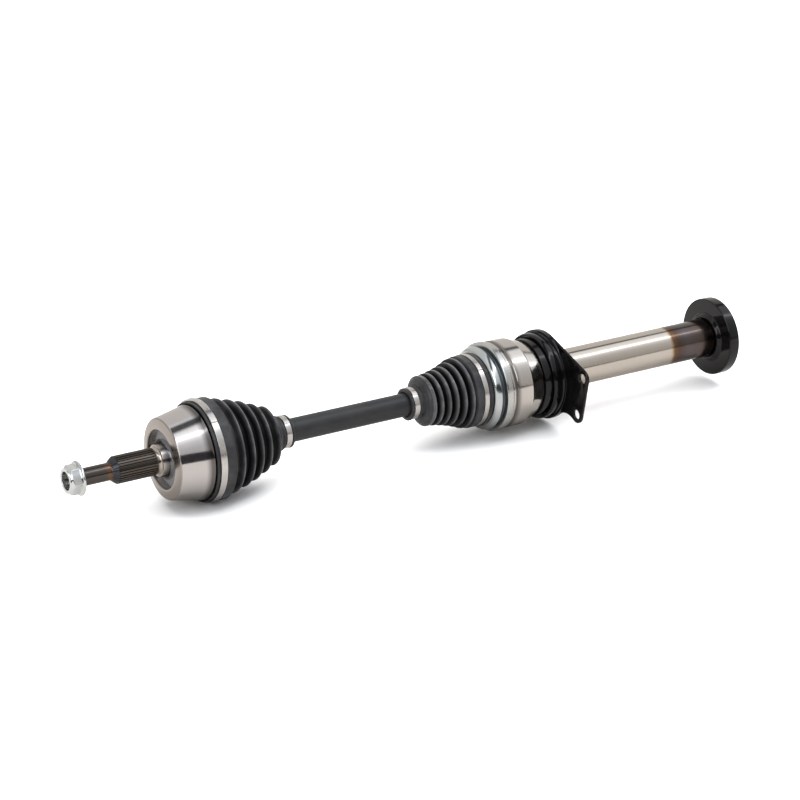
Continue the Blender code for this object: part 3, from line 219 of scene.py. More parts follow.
def far_wall(pitch: float, radius: float, aside: Array) -> Array:
    """Distance to the far side of a round track, in a direction that passes its middle at some distance.

    It is root(pitch squared - aside squared) + root(radius squared - aside squared), and 0 past the track.

    Args:
        pitch: distance of the track's middle.
        radius: of the track.
        aside: distance between the direction and the track's middle.

    Returns:
        The distance in each direction.
    """
    room = np.sqrt(np.clip(radius**2 - aside**2, 0.0, None))
    return np.where(room > 0, np.sqrt(np.clip(pitch**2 - aside**2, 0.0, None)) + room, 0.0)


def smooth_step(value: Array, low: float, high: float) -> Array:
    """Smooth step from 0 at low to 1 at high."""
    share = np.clip((value - low) / (high - low), 0.0, 1.0)
    return share * share * (3.0 - 2.0 * share)


def turned(profile: Array, columns: int = COLUMNS) -> Array:
    """Surface of a profile carried once round the axle: rows along the profile, columns round the axle."""
    return LINE.place(profile[:, :1], profile[:, 1:], around(columns))


def grid_mesh(name: str, points: Array, ring: bool, turned_over: bool | None = None) -> bpy.types.Mesh:
    """Closed mesh on a grid whose columns go round the axle, or round a wire.

    Each face joins a point with the next in its row and both of theirs in the next row. A first or last row
    whose points all meet becomes one point, closed by triangles. Unless told, faces are turned by the sign of
    the area that the profile encloses, so that they point outwards.

    Args:
        name: name of the mesh.
        points: grid of points, rows along the profile.
        ring: whether the last row joins the first.
        turned_over: whether to turn the faces over, or None to go by the area.

    Returns:
        The smooth-shaded mesh, with its sharp edges marked.
    """
    rows, columns = points.shape[:2]
    index = np.arange(rows * columns).reshape(rows, columns)
    if not ring:
        for row in (0, -1):
            if np.ptp(points[row], axis=0).max() < TOUCHING * MM:
                index[row] = index[row, 0]
    upper = np.roll(index, -1, axis=0) if ring else index[1:]
    lower = index if ring else index[:-1]
    faces = np.stack([lower, upper, np.roll(upper, -1, axis=1), np.roll(lower, -1, axis=1)], axis=-1)
    faces = faces.reshape(-1, 4)
    if turned_over is None:
        station = points[:, 0, 0]
        radius = np.hypot(points[:, 0, 1] - LINE.across, points[:, 0, 2] - LINE.height)
        turned_over = np.sum(station * np.roll(radius, -1) - np.roll(station, -1) * radius) < 0
    if turned_over:
        faces = faces[:, ::-1]
    used, faces = np.unique(faces, return_inverse=True)
    faces = faces.reshape(-1, 4)
    double = faces == np.roll(faces, -1, axis=1)
    pinched = double.any(axis=1)
    triangles = faces[pinched][~double[pinched]].reshape(-1, 3)
    mesh = bpy.data.meshes.new(name)
    corners = points.reshape(-1, 3)[used].tolist()
    mesh.from_pydata(corners, [], faces[~pinched].tolist() + triangles.tolist())
    mesh.shade_smooth()
    mesh.set_sharp_from_angle(angle=SHARP_ANGLE)
    return mesh


class Wiring:
    """A short way to add shader nodes to a tree and join them."""

    def __init__(self, tree: bpy.types.NodeTree) -> None:
        """Keep the tree that the nodes go into."""
        self.tree = tree

    def feed(self, node: Node, inputs: Inputs) -> Node:
        """Link inputs of a node to other sockets, or set their values.

        Args:
            node: the node.
            inputs: what goes into which input.

        Returns:
            The same node.
        """
        for key, value in inputs.items():
            if isinstance(value, Socket):
                self.tree.links.new(value, node.inputs[key])
            else:
                node.inputs[key].default_value = value
        return node

    def add(self, kind: str, inputs: Inputs | None = None, **settings: object) -> Node:
        """Add a node.

        Args:
            kind: node type.
            inputs: what goes into which input.
            settings: values of its own settings.

        Returns:
            The node.
        """
        node = self.tree.nodes.new(kind)
        for key, value in settings.items():
            setattr(node, key, value)
        return self.feed(node, inputs or {})

    def maths(self, operation: str, *values: object) -> Socket:
        """One sum on values or sockets, and the socket that holds its result."""
        return self.add("ShaderNodeMath", dict(enumerate(values)), operation=operation).outputs[0]

    def between(self, value: object, low: float, high: float) -> Socket:
        """A value from 0 to 1 stretched to run from low to high."""
        return self.maths("MULTIPLY_ADD", value, high - low, low)

    def step(self, value: object, low: float, high: float) -> Socket:
        """Smooth step of a value from 0 at low to 1 at high."""
        inputs = {"Value": value, "From Min": low, "From Max": high}
        return self.add("ShaderNodeMapRange", inputs, interpolation_type="SMOOTHSTEP").outputs["Result"]

    def noise(self, scale: float, detail: float, place: Socket) -> Socket:
        """Noise from 0 to 1.

        Args:
            scale: features a unit of the place.
            detail: octaves.
            place: a vector for noise in space, or a number for noise along a line.

        Returns:
            The noise's value.
        """
        size, key = ("1D", "W") if place.type == "VALUE" else ("3D", "Vector")
        node = self.add("ShaderNodeTexNoise", {"Scale": scale, "Detail": detail}, noise_dimensions=size)
        return self.feed(node, {key: place}).outputs["Fac"]

    def ramp(self, factor: object, stops: Sequence[tuple[float, Colour]]) -> Socket:
        """Colour ramp.

        Args:
            factor: where on the ramp to read.
            stops: place and colour of each stop.

        Returns:
            The colour read.
        """
        node = self.add("ShaderNodeValToRGB", {"Fac": factor})
        elements = node.color_ramp.elements
        while len(elements) < len(stops):
            elements.new(1.0)
        for element, (place, colour) in zip(elements, stops):
            element.position = place
            element.color = (*colour, 1.0)
        return node.outputs["Color"]

    def mix(self, factor: object, first: object, second: object, blend: str = "MIX") -> Socket:
        """Colour between two others.

        Args:
            factor: share of the second.
            first: colour or socket.
            second: colour or socket.
            blend: way of mixing.

        Returns:
            The mixed colour.
        """
        first, second = ((*c, 1.0) if isinstance(c, tuple) else c for c in (first, second))
        node = self.add("ShaderNodeMix", data_type="RGBA", blend_type=blend)
        return self.feed(node, {0: factor, 6: first, 7: second}).outputs[2]

    def bump(self, strength: float, depth: float, height: Socket) -> Socket:
        """Normal of a surface whose height varies by some depth in millimetres."""
        inputs = {"Strength": strength, "Distance": depth * MM, "Height": height}
        return self.add("ShaderNodeBump", inputs).outputs["Normal"]

    def group(self, tree: bpy.types.NodeTree, **inputs: object) -> bpy.types.NodeOutputs:
        """Place a node group and return its outputs."""
        return self.feed(self.add("ShaderNodeGroup", node_tree=tree), inputs).outputs


def new_group(name: str, inputs: Sequence[str], outputs: Sequence[str]) -> tuple[Wiring, object, object]:
    """Start a shader node group of plain number sockets.

    Args:
        name: the group's name.
        inputs: names of its inputs.
        outputs: names of its outputs.

    Returns:
        Its wiring, its input node and its output node.
    """
    tree = bpy.data.node_groups.new(name, "ShaderNodeTree")
    for in_out, names in (("INPUT", inputs), ("OUTPUT", outputs)):
        for socket in names:
            tree.interface.new_socket(socket, in_out=in_out, socket_type="NodeSocketFloat")
    wiring = Wiring(tree)
    return wiring, wiring.add("NodeGroupInput"), wiring.add("NodeGroupOutput")


@cache
def axle_place_group() -> bpy.types.NodeTree:
    """Group that gives a point's station and radius in millimetres from its object coordinates.

    Returns:
        The group, made once.
    """
    wiring, _, out = new_group("axle_place", [], ["Station", "Radius"])
    where = wiring.add("ShaderNodeTexCoord").outputs["Object"]
    split = wiring.add("ShaderNodeSeparateXYZ", {"Vector": where}).outputs
    station = wiring.maths("DIVIDE", wiring.maths("SUBTRACT", split["X"], LINE.start), MM)
    across = wiring.maths("SUBTRACT", split["Y"], LINE.across)
    height = wiring.maths("SUBTRACT", split["Z"], LINE.height)
    square = wiring.maths("ADD", wiring.maths("POWER", across, 2.0), wiring.maths("POWER", height, 2.0))
    radius = wiring.maths("DIVIDE", wiring.maths("SQRT", square), MM)
    wiring.feed(out, {"Station": station, "Radius": radius})
    return wiring.tree


@cache
def turning_lines_group() -> bpy.types.NodeTree:
    """Group of the fine rings that a lathe leaves: noise along station plus radius, at two scales.

    Returns:
        The group, made once.
    """
    wiring, given, out = new_group("turning_lines", ["Density"], ["Height", "Tone"])
    place = wiring.group(axle_place_group())
    along = wiring.maths("ADD", place["Station"], place["Radius"])
    along = wiring.maths("MULTIPLY", along, given.outputs["Density"])
    fine, broad = wiring.noise(1.0, 2.0, along), wiring.noise(0.14, 3.0, along)
    broad_height = wiring.maths("MULTIPLY", broad, 1.0 - FINE_LINES)
    height = wiring.maths("MULTIPLY_ADD", fine, FINE_LINES, broad_height)
    wiring.feed(out, {"Height": height, "Tone": broad})
    return wiring.tree


@cache
def patches_group() -> bpy.types.NodeTree:
    """Group of soft patches and fine specks in space, for handling marks, dust and uneven coats.

    Returns:
        The group, made once.
    """
    wiring, given, out = new_group("patches", ["Scale"], ["Soft", "Speck"])
    where = {"Vector": wiring.add("ShaderNodeTexCoord").outputs["Object"], "Scale": given.outputs["Scale"]}
    scaled = wiring.add("ShaderNodeVectorMath", where, operation="SCALE").outputs["Vector"]
    for key, scale, detail, low, high in (("Soft", 1.0, 3.0, 0.35, 0.68), ("Speck", 14.0, 2.0, 0.4, 0.7)):
        spread = {"Value": wiring.noise(scale, detail, scaled), "From Min": low, "From Max": high}
        wiring.feed(out, {key: wiring.add("ShaderNodeMapRange", spread).outputs["Result"]})
    return wiring.tree


@dataclass(frozen=True)
class Finish:
    """A finish with a name and a slot of the record; each kind wires its own nodes."""

    name: str
    slot: Slot

    def wire(self, wiring: Wiring, shader: Node) -> None:
        """Wire the nodes of this finish into the shader."""
        raise NotImplementedError

    @cache
    def material(self) -> bpy.types.Material:
        """The finish's material, made on first use.

        Returns:
            The material.
        """
        material = bpy.data.materials.new(self.name)
        material.use_nodes = True
        self.wire(Wiring(material.node_tree), material.node_tree.nodes["Principled BSDF"])
        return material


@dataclass(frozen=True)
class Metal(Finish):
    """Bare or plated metal, whose colour and roughness may change along the axle."""

    stops: tuple[Stop, ...]
    patch_colour: Colour
    patch_share: float = 0.25
    patch_scale: float = 40.0
    wobble: float = 0.0
    speck_roughness: Pair = (0.85, 1.2)
    line_density: float = 6.0
    line_depth: float = 0.012
    line_bump: float = 0.35
    line_colour: Colour = (0.55, 0.53, 0.5)
    line_share: float = 0.22
    line_roughness: Pair = (0.75, 1.25)

    def wire(self, wiring: Wiring, shader: Node) -> None:
        """Ramps along the station give colour and roughness; lathe lines and patches vary both.

        Args:
            wiring: of the material's tree.
            shader: the material's shader.
        """
        lines = wiring.group(turning_lines_group(), Density=self.line_density)
        patch = wiring.group(patches_group(), Scale=self.patch_scale)
        first, last = self.stops[0][0], self.stops[-1][0]
        station = wiring.group(axle_place_group())["Station"]
        if self.wobble:
            station = wiring.maths("ADD", station, wiring.between(patch["Soft"], -self.wobble, self.wobble))
        share = wiring.maths("DIVIDE", wiring.maths("SUBTRACT", station, first), last - first)
        places = [(stop[0] - first) / (last - first) for stop in self.stops]
        colour = wiring.ramp(share, [(place, stop[1]) for place, stop in zip(places, self.stops)])
        rough = wiring.ramp(share, [(place, (stop[2],) * 3) for place, stop in zip(places, self.stops)])
        patchy = wiring.between(patch["Soft"], 0.0, self.patch_share)
        colour = wiring.mix(patchy, colour, self.patch_colour, "MULTIPLY")
        lined = wiring.between(lines["Tone"], 0.0, self.line_share)
        colour = wiring.mix(lined, colour, self.line_colour, "MULTIPLY")
        rough = wiring.maths("MULTIPLY", rough, wiring.between(patch["Speck"], *self.speck_roughness))
        rough = wiring.maths("MULTIPLY", rough, wiring.between(lines["Tone"], *self.line_roughness))
        normal = wiring.bump(self.line_bump, self.line_depth, lines["Height"])
        wiring.feed(shader, {"Base Color": colour, "Roughness": rough, "Normal": normal, "Metallic": 1.0})


@dataclass(frozen=True)
class Paint(Finish):
    """Paint with a clear gloss, faint orange peel and a little dust."""

    colour: Colour
    dust: Colour
    roughness: float
    coat: float
    specular: float = 0.3
    coat_roughness: float = 0.06
    dusty_roughness: float = 1.5
    peel: float = 0.02
    peel_bump: float = 0.3
    patch_scale: float = 45.0
    fine_scale: float = 360.0
    speck_share: Pair = (0.3, 1.0)

    def wire(self, wiring: Wiring, shader: Node) -> None:
        """Patches mix dust into the colour and dull the gloss; soft noise ripples the surface.

        Args:
            wiring: of the material's tree.
            shader: the material's shader.
        """
        patch = wiring.group(patches_group(), Scale=self.patch_scale)
        fine = wiring.group(patches_group(), Scale=self.fine_scale)
        dusty = wiring.maths("MULTIPLY", patch["Soft"], wiring.between(fine["Speck"], *self.speck_share))
        wiring.feed(shader, {
            "Base Color": wiring.mix(dusty, self.colour, self.dust),
            "Roughness": wiring.between(dusty, self.roughness, self.roughness * self.dusty_roughness),
            "Normal": wiring.bump(self.peel_bump, self.peel, fine["Soft"]),
            "Specular IOR Level": self.specular,
            "Coat Weight": self.coat,
            "Coat Roughness": self.coat_roughness,
        })


@dataclass(frozen=True)
class Rubber(Finish):
    """Moulded rubber with a fine grain and grey blooming; on the boots the grey is a painted highlight on the
    crests.
    """

    colour: Colour
    bloom_and_highlight: Colour
    roughness: float
    sheen_on_crests: float = 0.0
    specular: float = 0.25
    sheen_roughness: float = 0.18
    grain: float = 0.03
    grain_bump: float = 0.4
    patch_scale: float = 60.0
    fine_scale: float = 600.0
    bloom_and_highlight_share: Pair = (0.4, 1.0)
    dulling: float = 0.1

    def wire(self, wiring: Wiring, shader: Node) -> None:
        """Patches give grey blooming, small specks the grain of the mould, and handling polishes the crests.
        On the boots the grey and the gloss follow the mark of the folds: a painted highlight on the crests,
        with painted shade in the valleys.

        Args:
            wiring: of the material's tree.
            shader: the material's shader.
        """
        patch = wiring.group(patches_group(), Scale=self.patch_scale)
        fine = wiring.group(patches_group(), Scale=self.fine_scale)
        bloom_and_highlight = wiring.between(patch["Soft"], *self.bloom_and_highlight_share)
        # On the boots the grey goes only where the folds are marked: a painted highlight on the crests,
        # painted shade in the valleys.
        if self.sheen_on_crests:
            crest_highlight = wiring.add("ShaderNodeAttribute", attribute_name=CREST_HIGHLIGHT).outputs["Fac"]
            bloom_and_highlight = wiring.maths("MULTIPLY", bloom_and_highlight, crest_highlight)
            sheen = wiring.maths("MULTIPLY", crest_highlight, self.sheen_on_crests)
            wiring.feed(shader, {"Coat Weight": sheen, "Coat Roughness": self.sheen_roughness})
        rough = wiring.between(patch["Soft"], self.roughness, self.roughness + self.dulling)
        wiring.feed(shader, {
            "Base Color": wiring.mix(bloom_and_highlight, self.colour, self.bloom_and_highlight),
            "Roughness": wiring.maths("MULTIPLY_ADD", fine["Soft"], self.dulling, rough),
            "Normal": wiring.bump(self.grain_bump, self.grain, fine["Speck"]),
            "Specular IOR Level": self.specular,
        })


def plain(colour: Colour, roughness: float) -> tuple[Stop, ...]:
    """Stops of a metal that is the same along the whole axle."""
    return (0.0, colour, roughness), (AXLE_LENGTH, colour, roughness)


NUT_ZINC = Metal(
    "bright_zinc_nut", Slot.ZINC, plain((0.74, 0.76, 0.77), 0.06), (0.7, 0.74, 0.68), 0.6, 90.0
)
CAN_ZINC = Metal(
    "bluish_zinc_can",
    Slot.ZINC,
    (
        (440.0, (0.6, 0.63, 0.63), 0.15),
        (467.0, (0.6, 0.63, 0.63), 0.15),
        (467.6, (0.16, 0.18, 0.19), 0.36),  # the cove, painted dark: painted shade in the groove
        (471.9, (0.16, 0.18, 0.19), 0.36),
        (472.3, (0.6, 0.6, 0.58), 0.24),
        (480.0, (0.6, 0.6, 0.58), 0.24),
    ),
    (0.8, 0.86, 0.88),
    0.4,
    60.0,
)
CLAMP_STEEL = Metal(
    "bright_clamp_band", Slot.CLAMP, plain((0.64, 0.62, 0.6), 0.22), (0.8, 0.78, 0.75), 0.5, 120.0
)
STUB_STEEL = Metal(
    "dark_stub_steel",
    Slot.TURNED,
    (
        (0.0, (0.08, 0.075, 0.07), 0.24),
        (38.0, (0.1, 0.09, 0.08), 0.16),
        (42.0, (0.17, 0.105, 0.07), 0.18),  # straw-coloured end of the thread
        (44.2, (0.15, 0.085, 0.055), 0.2),
        (45.4, (0.06, 0.064, 0.072), 0.1),
        (50.4, (0.07, 0.07, 0.075), 0.1),
        (52.0, (0.1, 0.09, 0.08), 0.14),  # teeth
        (88.0, (0.11, 0.095, 0.082), 0.18),
        (91.4, (0.24, 0.21, 0.19), 0.18),
        (93.2, (0.5, 0.46, 0.42), 0.2),  # bright flare: painted highlight on its curve
        (95.6, (0.44, 0.4, 0.36), 0.2),
        (98.6, (0.2, 0.19, 0.19), 0.24),
        # recess floor lightened and bluish: painted light against its shadow
        (109.0, (0.15, 0.16, 0.18), 0.22),
    ),
    (0.8, 0.7, 0.62),
    wobble=0.8,
)
BELL_STEEL = Metal(
    "polished_bell",
    Slot.TURNED,
    (
        (99.0, (0.5, 0.465, 0.43), 0.16),
        (100.6, (0.42, 0.385, 0.355), 0.22),  # ground front ring
        (102.4, (0.4, 0.37, 0.34), 0.24),
        (103.2, (0.6, 0.575, 0.565), 0.11),  # polished cone
        (126.5, (0.6, 0.575, 0.565), 0.1),
        # the cone darkens towards the boot's lip: painted shade where it meets the boot
        (132.0, (0.16, 0.15, 0.145), 0.14),
        (148.0, (0.16, 0.15, 0.145), 0.14),
    ),
    (0.9, 0.86, 0.82),
)
HOUSING_STEEL = Metal(
    "turned_housing",
    Slot.TURNED,
    (
        (0.0, (0.6, 0.565, 0.53), 0.13),
        (483.0, (0.6, 0.565, 0.53), 0.13),
        (483.4, (0.1, 0.094, 0.09), 0.26),  # the groove, painted dark: painted shade in the groove
        (487.2, (0.1, 0.094, 0.09), 0.26),
        (487.6, (0.6, 0.565, 0.53), 0.13),
        (AXLE_LENGTH, (0.6, 0.565, 0.53), 0.13),
    ),
    (0.9, 0.86, 0.8),
)
TUBE_STEEL = Metal(
    "turned_tube_with_heat_colours",
    Slot.TURNED,
    (
        (500.0, (0.6, 0.55, 0.49), 0.14),
        (700.5, (0.6, 0.55, 0.49), 0.14),
        (702.6, (0.5, 0.38, 0.26), 0.15),  # straw, brown and purple
        (704.8, (0.17, 0.1, 0.062), 0.16),
        (711.0, (0.11, 0.072, 0.055), 0.17),
        (722.0, (0.12, 0.102, 0.104), 0.17),
        (740.0, (0.115, 0.09, 0.08), 0.18),
        (764.0, (0.07, 0.055, 0.048), 0.22),
    ),
    (0.88, 0.84, 0.78),
    wobble=1.2,
)
GROUND_STEEL = Metal("ground_bearing_steel", Slot.GROUND, plain((0.6, 0.6, 0.61), 0.12), (0.9, 0.9, 0.92))
SPRING_STEEL = Metal(
    "blued_spring_steel", Slot.SPRING, plain((0.28, 0.27, 0.27), 0.3), (0.7, 0.72, 0.8), 0.5
)
BLACK_PAINT = Paint(
    "gloss_black_paint", Slot.PAINT, (0.002, 0.002, 0.0022), (0.004, 0.004, 0.004), 0.09, 0.12, 0.26
)
BAR_PAINT = Paint("satin_bar_paint", Slot.BAR, (0.014, 0.0148, 0.0165), (0.027, 0.0265, 0.026), 0.36, 0.0)
# Boot rubber: its grey goes on the crests only, as a painted highlight.
BOOT_RUBBER = Rubber(
    "moulded_boot_rubber", Slot.RUBBER, (0.0022, 0.0022, 0.0023), (0.125, 0.125, 0.132), 0.36, 0.9, 0.1
)
SEAL_RUBBER = Rubber("moulded_seal_rubber", Slot.SEAL, (0.012, 0.012, 0.013), (0.03, 0.03, 0.03), 0.45)
CAGE_POLYMER = Rubber("moulded_cage_polymer", Slot.POLYMER, (0.32, 0.25, 0.14), (0.4, 0.33, 0.2), 0.42)


def settle(name: str, node: str, mesh: bpy.types.Mesh, finish: Finish) -> bpy.types.Object:
    """Add a piece to the scene, dress it and hide the solid of the frame that it stands for.

    Args:
        name: the piece's name.
        node: solid of the frame that it hides.
        mesh: its form.
        finish: what its surface looks like.

    Returns:
        The piece.
    """
    obj = bpy.data.objects.new(name, mesh)
    bpy.context.scene.collection.objects.link(obj)
    mesh.materials.append(finish.material())
    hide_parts(node)
    log.info("%s: %d faces, %s", name, len(mesh.polygons), finish.name)
    return obj


def add_piece(name: str, node: str, points: Array, finish: Finish, body: Body, ring: bool = True) -> None:
    """Make a piece from a grid of points and let it ride on a body.

    Args:
        name: the piece's name.
        node: solid of the frame that it hides.
        points: grid of points round the axle.
        finish: what its surface looks like.
        body: the body that carries it.
        ring: whether the profile closes on itself away from the axle.
    """
    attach(settle(name, node, grid_mesh(name, points, ring), finish), body.value)


@dataclass
class WheelEnd:
    """Nut, splined stub and bell of the outer joint."""

    nut_across_flats: float = 27.0
    nut_flats: int = 6
    nut_corner_power: float = 60.0
    nut_bulge: float = 0.02
    nut_height: float = 14.0
    nut_rows: tuple[Rows, ...] = ((0.0, 5.0, 40), (5.4, 9.4, 6), (9.8, 14.0, 30))
    nut_front_radius: float = 10.9
    nut_front_slope: float = 1.2
    nut_front_blend: float = 6.0
    nut_flange_radius: float = 17.2
    nut_flange_height: float = 3.6
    nut_flange_brim: float = 1.2
    nut_flange_foot: float = 1.2
    nut_flange_curve: float = 0.8
    nut_flange_blend: float = 4.0
    nut_edge: float = 0.8
    nut_bore_radius: float = 9.1
    nut_bore_chamfer: float = 0.7
    nut_front_inset: float = 0.3
    thread_radius: float = 8.8
    tip: float = 5.0
    thread_end: float = 44.5
    spline_start: float = 51.0
    spline_end: float = 90.0
    spline_runout: float = 1.6
    spline_radius: float = 13.8
    tooth_depth: float = 1.1
    teeth: int = 30
    flare: float = 95.4
    flare_radius: float = 15.4
    flare_rows: int = 16
    flare_lip: Pair = (0.2, 0.4)
    collar_foot: Pair = (1.8, 2.2)
    collar_width: float = 5.0
    face: float = 101.0
    face_lip: float = 99.7
    face_edge: float = 102.0
    face_radius: float = 40.5
    recess_radius: float = 29.4
    recess_depth: float = 4.0
    cavity_floor: float = 109.0
    shoulder: float = 134.0
    shoulder_radius: float = 47.2
    seat: float = 136.0
    seat_radius: float = 45.5
    centre: float = 135.0
    rim: float = 148.0
    bore_ball_radius: float = 32.6
    bore_latitudes: Rows = (23.5, -52.0, 48)  # degrees
    mouth_radius: float = 34.2
    mouth_slope: float = 0.62
    groove_radius: float = 9.5
    pitch_radius: float = 28.5
    grooves: int = 6

    def build(self) -> None:
        """Build and dress the three pieces."""
        self.build_nut()
        self.build_stub()
        self.build_bell()

    def build_nut(self) -> None:
        """Flanged hexagon nut.

        At each station the outline is the hexagon, a power mean of its six flats, held under the chamfer's
        cone by a soft minimum and raised to the flange's curve by a soft maximum.
        """
        flat, height = self.nut_across_flats / 2, self.nut_height
        angle = around()
        facing = np.arange(self.nut_flats) * TURN / self.nut_flats + math.pi / 2
        flats = np.clip(np.cos(angle[..., None] - facing), 0.0, 1.0)
        hexagon = flat / np.sum(flats**self.nut_corner_power, axis=-1) ** (1 / self.nut_corner_power)
        hexagon = hexagon * (1.0 - self.nut_bulge * np.cos(self.nut_flats * angle))
        station = np.concatenate([np.linspace(*rows) for rows in self.nut_rows])[:, None]
        cone = self.nut_front_radius + station * self.nut_front_slope
        start, foot = height - self.nut_flange_height, flat - self.nut_flange_foot
        rise = np.clip((station - start) / (height - self.nut_flange_brim - start), 0.0, 1.0)
        flange = foot + (self.nut_flange_radius - foot) * np.sin(rise * math.pi / 2) ** self.nut_flange_curve
        edge = np.clip((station - height + self.nut_edge) / self.nut_edge, 0.0, 1.0)
        flange = flange - self.nut_edge * (1.0 - np.sqrt(1.0 - edge**2))
        soft = self.nut_front_blend
        body = flat - np.log(np.exp(-soft * (hexagon - flat)) + np.exp(-soft * (cone - flat))) / soft
        soft = self.nut_flange_blend
        radius = flat + np.log(np.exp(soft * (body - flat)) + np.exp(soft * (flange - flat))) / soft
        bore, front = self.nut_bore_radius, self.nut_front_radius - self.nut_front_inset
        hole = rounded([(height, bore), (0.0, bore), (0.0, front)], self.nut_bore_chamfer, ring=False)
        points = np.concatenate([LINE.place(station, radius, angle), turned(hole, FINE_COLUMNS)])
        add_piece("flanged_nut", "axle_nut", points, NUT_ZINC, Body.WHEEL)

    def build_stub(self) -> None:
        """Stub from its tip to the bell's recess.

        The profile is turned, and between its roots and its own radius the splines swing by a clipped
        cosine of the angle times the number of teeth. The flare is a quarter of an ellipse.
        """
        recess, runout = self.face + self.recess_depth, self.spline_end + self.spline_runout
        root, flare = self.spline_radius - self.tooth_depth, self.flare_radius
        neck = [
            (self.tip, 0.0), (self.tip, self.thread_radius), (self.thread_end, self.thread_radius),
            (self.spline_start, self.spline_radius), (self.spline_end, self.spline_radius), (runout, root),
        ]
        neck = rounded(neck, [0.0, 1.0, 0.4, 0.5, 0.5, 0.0], ring=False)
        bend = np.linspace(0.0, math.pi / 2, self.flare_rows)
        sweep, rise = self.flare - runout, flare - root
        curve = np.stack([runout + sweep * np.sin(bend), flare - rise * np.cos(bend)], axis=1)
        floor = [
            (self.flare, flare), (self.flare + self.flare_lip[0], flare + self.flare_lip[1]),
            (recess - self.collar_foot[0], flare + self.collar_foot[1]), (recess, flare + self.collar_width),
            (recess, self.recess_radius), (self.cavity_floor, self.recess_radius), (self.cavity_floor, 0.0),
        ]
        floor = rounded(floor, [0.0, 0.4, 2.0, 1.4, 0.0, 0.0, 0.0], ring=False)
        profile = np.concatenate([neck, curve[1:], floor[1:]])
        station, radius = profile[:, :1], profile[:, 1:]
        toothed = (station > self.thread_end) & (station < runout)
        depth = np.where(toothed, np.clip(radius - root, 0.0, self.tooth_depth), 0.0)
        points = LINE.place(station, radius - depth * (1.0 - tooth_wave(self.teeth)), around())
        add_piece("splined_stub", "outer_joint_bell", points, STUB_STEEL, Body.WHEEL, ring=False)

    def build_bell(self) -> None:
        """Bell with its front ring, cone, boot seat and inner ball grooves.

        Inside, the distance from the joint's centre is the bore's, or where a groove runs, that of the far
        wall of a round track along the meridian. A cone opens the mouth for the bar.
        """
        outside = [
            (self.cavity_floor, self.recess_radius), (self.face_lip, self.recess_radius),
            (self.face_edge, self.face_radius), (self.shoulder, self.shoulder_radius),
            (self.seat, self.shoulder_radius), (self.seat, self.seat_radius), (self.rim, self.seat_radius),
        ]
        outside = rounded(outside, [0.0, 2.0, 1.4, 0.8, 0.5, 0.2, 0.0], ring=False)
        latitude = np.radians(np.linspace(*self.bore_latitudes))[:, None]
        aside = self.pitch_radius * np.cos(latitude) * np.sin(from_nearest(self.grooves))
        groove = far_wall(self.pitch_radius, self.groove_radius, aside)
        reach = np.maximum(self.bore_ball_radius, groove)
        station = np.clip(self.centre + reach * np.sin(latitude), self.cavity_floor, self.rim)
        mouth = self.mouth_radius - self.mouth_slope * (self.rim - station)
        inside = LINE.place(station, np.maximum(reach * np.cos(latitude), mouth), around())
        points = np.concatenate([turned(outside, FINE_COLUMNS), inside])
        add_piece("joint_bell", "outer_joint_bell", points, BELL_STEEL, Body.WHEEL)


@dataclass
class Clamp:
    """Boot clamp: a thin band whose tail lies over its own start, with hooks in the overlap."""

    name: str
    node: str
    body: Body
    start: float
    width: float
    thickness: float = 1.2
    corner_cuts: tuple[float, ...] = (0.1, 0.4, 0.4, 0.1)
    face_rows: int = 14
    face_inset: float = 0.5
    columns: int = 720
    tail_height: float = 0.55
    tail_edge: float = 0.3
    tail_start: float = math.radians(52.0)
    tail_end: float = math.radians(128.0)
    hooks: int = 3
    hook_height: float = 0.5
    hook_length: Pair = (0.9, 1.3)
    hook_width_share: Pair = (0.2, 0.28)

    def build(self, radius: float) -> None:
        """Build the band and dress it.

        The outer radius is the band's, plus the tail's height between its two angles, plus a low bump for
        each hook; a bump is one smooth step across the width times one round the axle.

        Args:
            radius: of the band's outside.
        """
        end, inset = self.start + self.width, self.face_inset
        profile = rounded(block(self.start, end, radius - self.thickness, radius), self.corner_cuts)
        face = np.linspace(self.start + inset, end - inset, self.face_rows)[:, None]
        first = int(np.searchsorted(profile[:, 0], self.start + inset))
        rows = np.concatenate([face, np.full_like(face, radius)], axis=1)
        profile = np.insert(profile, first, rows, axis=0)
        station, base, angle = profile[:, :1], profile[:, 1:], around(self.columns)
        edge = self.tail_edge / radius
        tail = smooth_step(angle, self.tail_start - edge, self.tail_start + edge)
        tail = tail * (1.0 - smooth_step(angle, self.tail_end - edge, self.tail_end + edge))
        spots = np.linspace(self.tail_start, self.tail_end, self.hooks + 2)[1:-1]
        near = np.min(np.abs(angle[..., None] - spots), axis=-1) * radius
        across = np.abs(station - self.start - self.width / 2)
        low, high = self.hook_width_share
        hook = 1.0 - smooth_step(near, *self.hook_length)
        hook = hook * (1.0 - smooth_step(across, self.width * low, self.width * high))
        lift = np.where(base > radius - inset, tail * (self.tail_height + self.hook_height * hook), 0.0)
        add_piece(self.name, self.node, LINE.place(station, base + lift, angle), CLAMP_STEEL, self.body)


@dataclass(frozen=True)
class Span:
    """A length of boot that lies between two bodies, or rides on one where both are the same."""

    name: str
    start: float
    end: float
    first: Body
    second: Body
    wall: float = 1.2


def offset(steps: Sequence[Point], station: float) -> list[Point]:
    """Steps of a profile moved along the axle to start from a station."""
    return [(station + along, radius) for along, radius in steps]


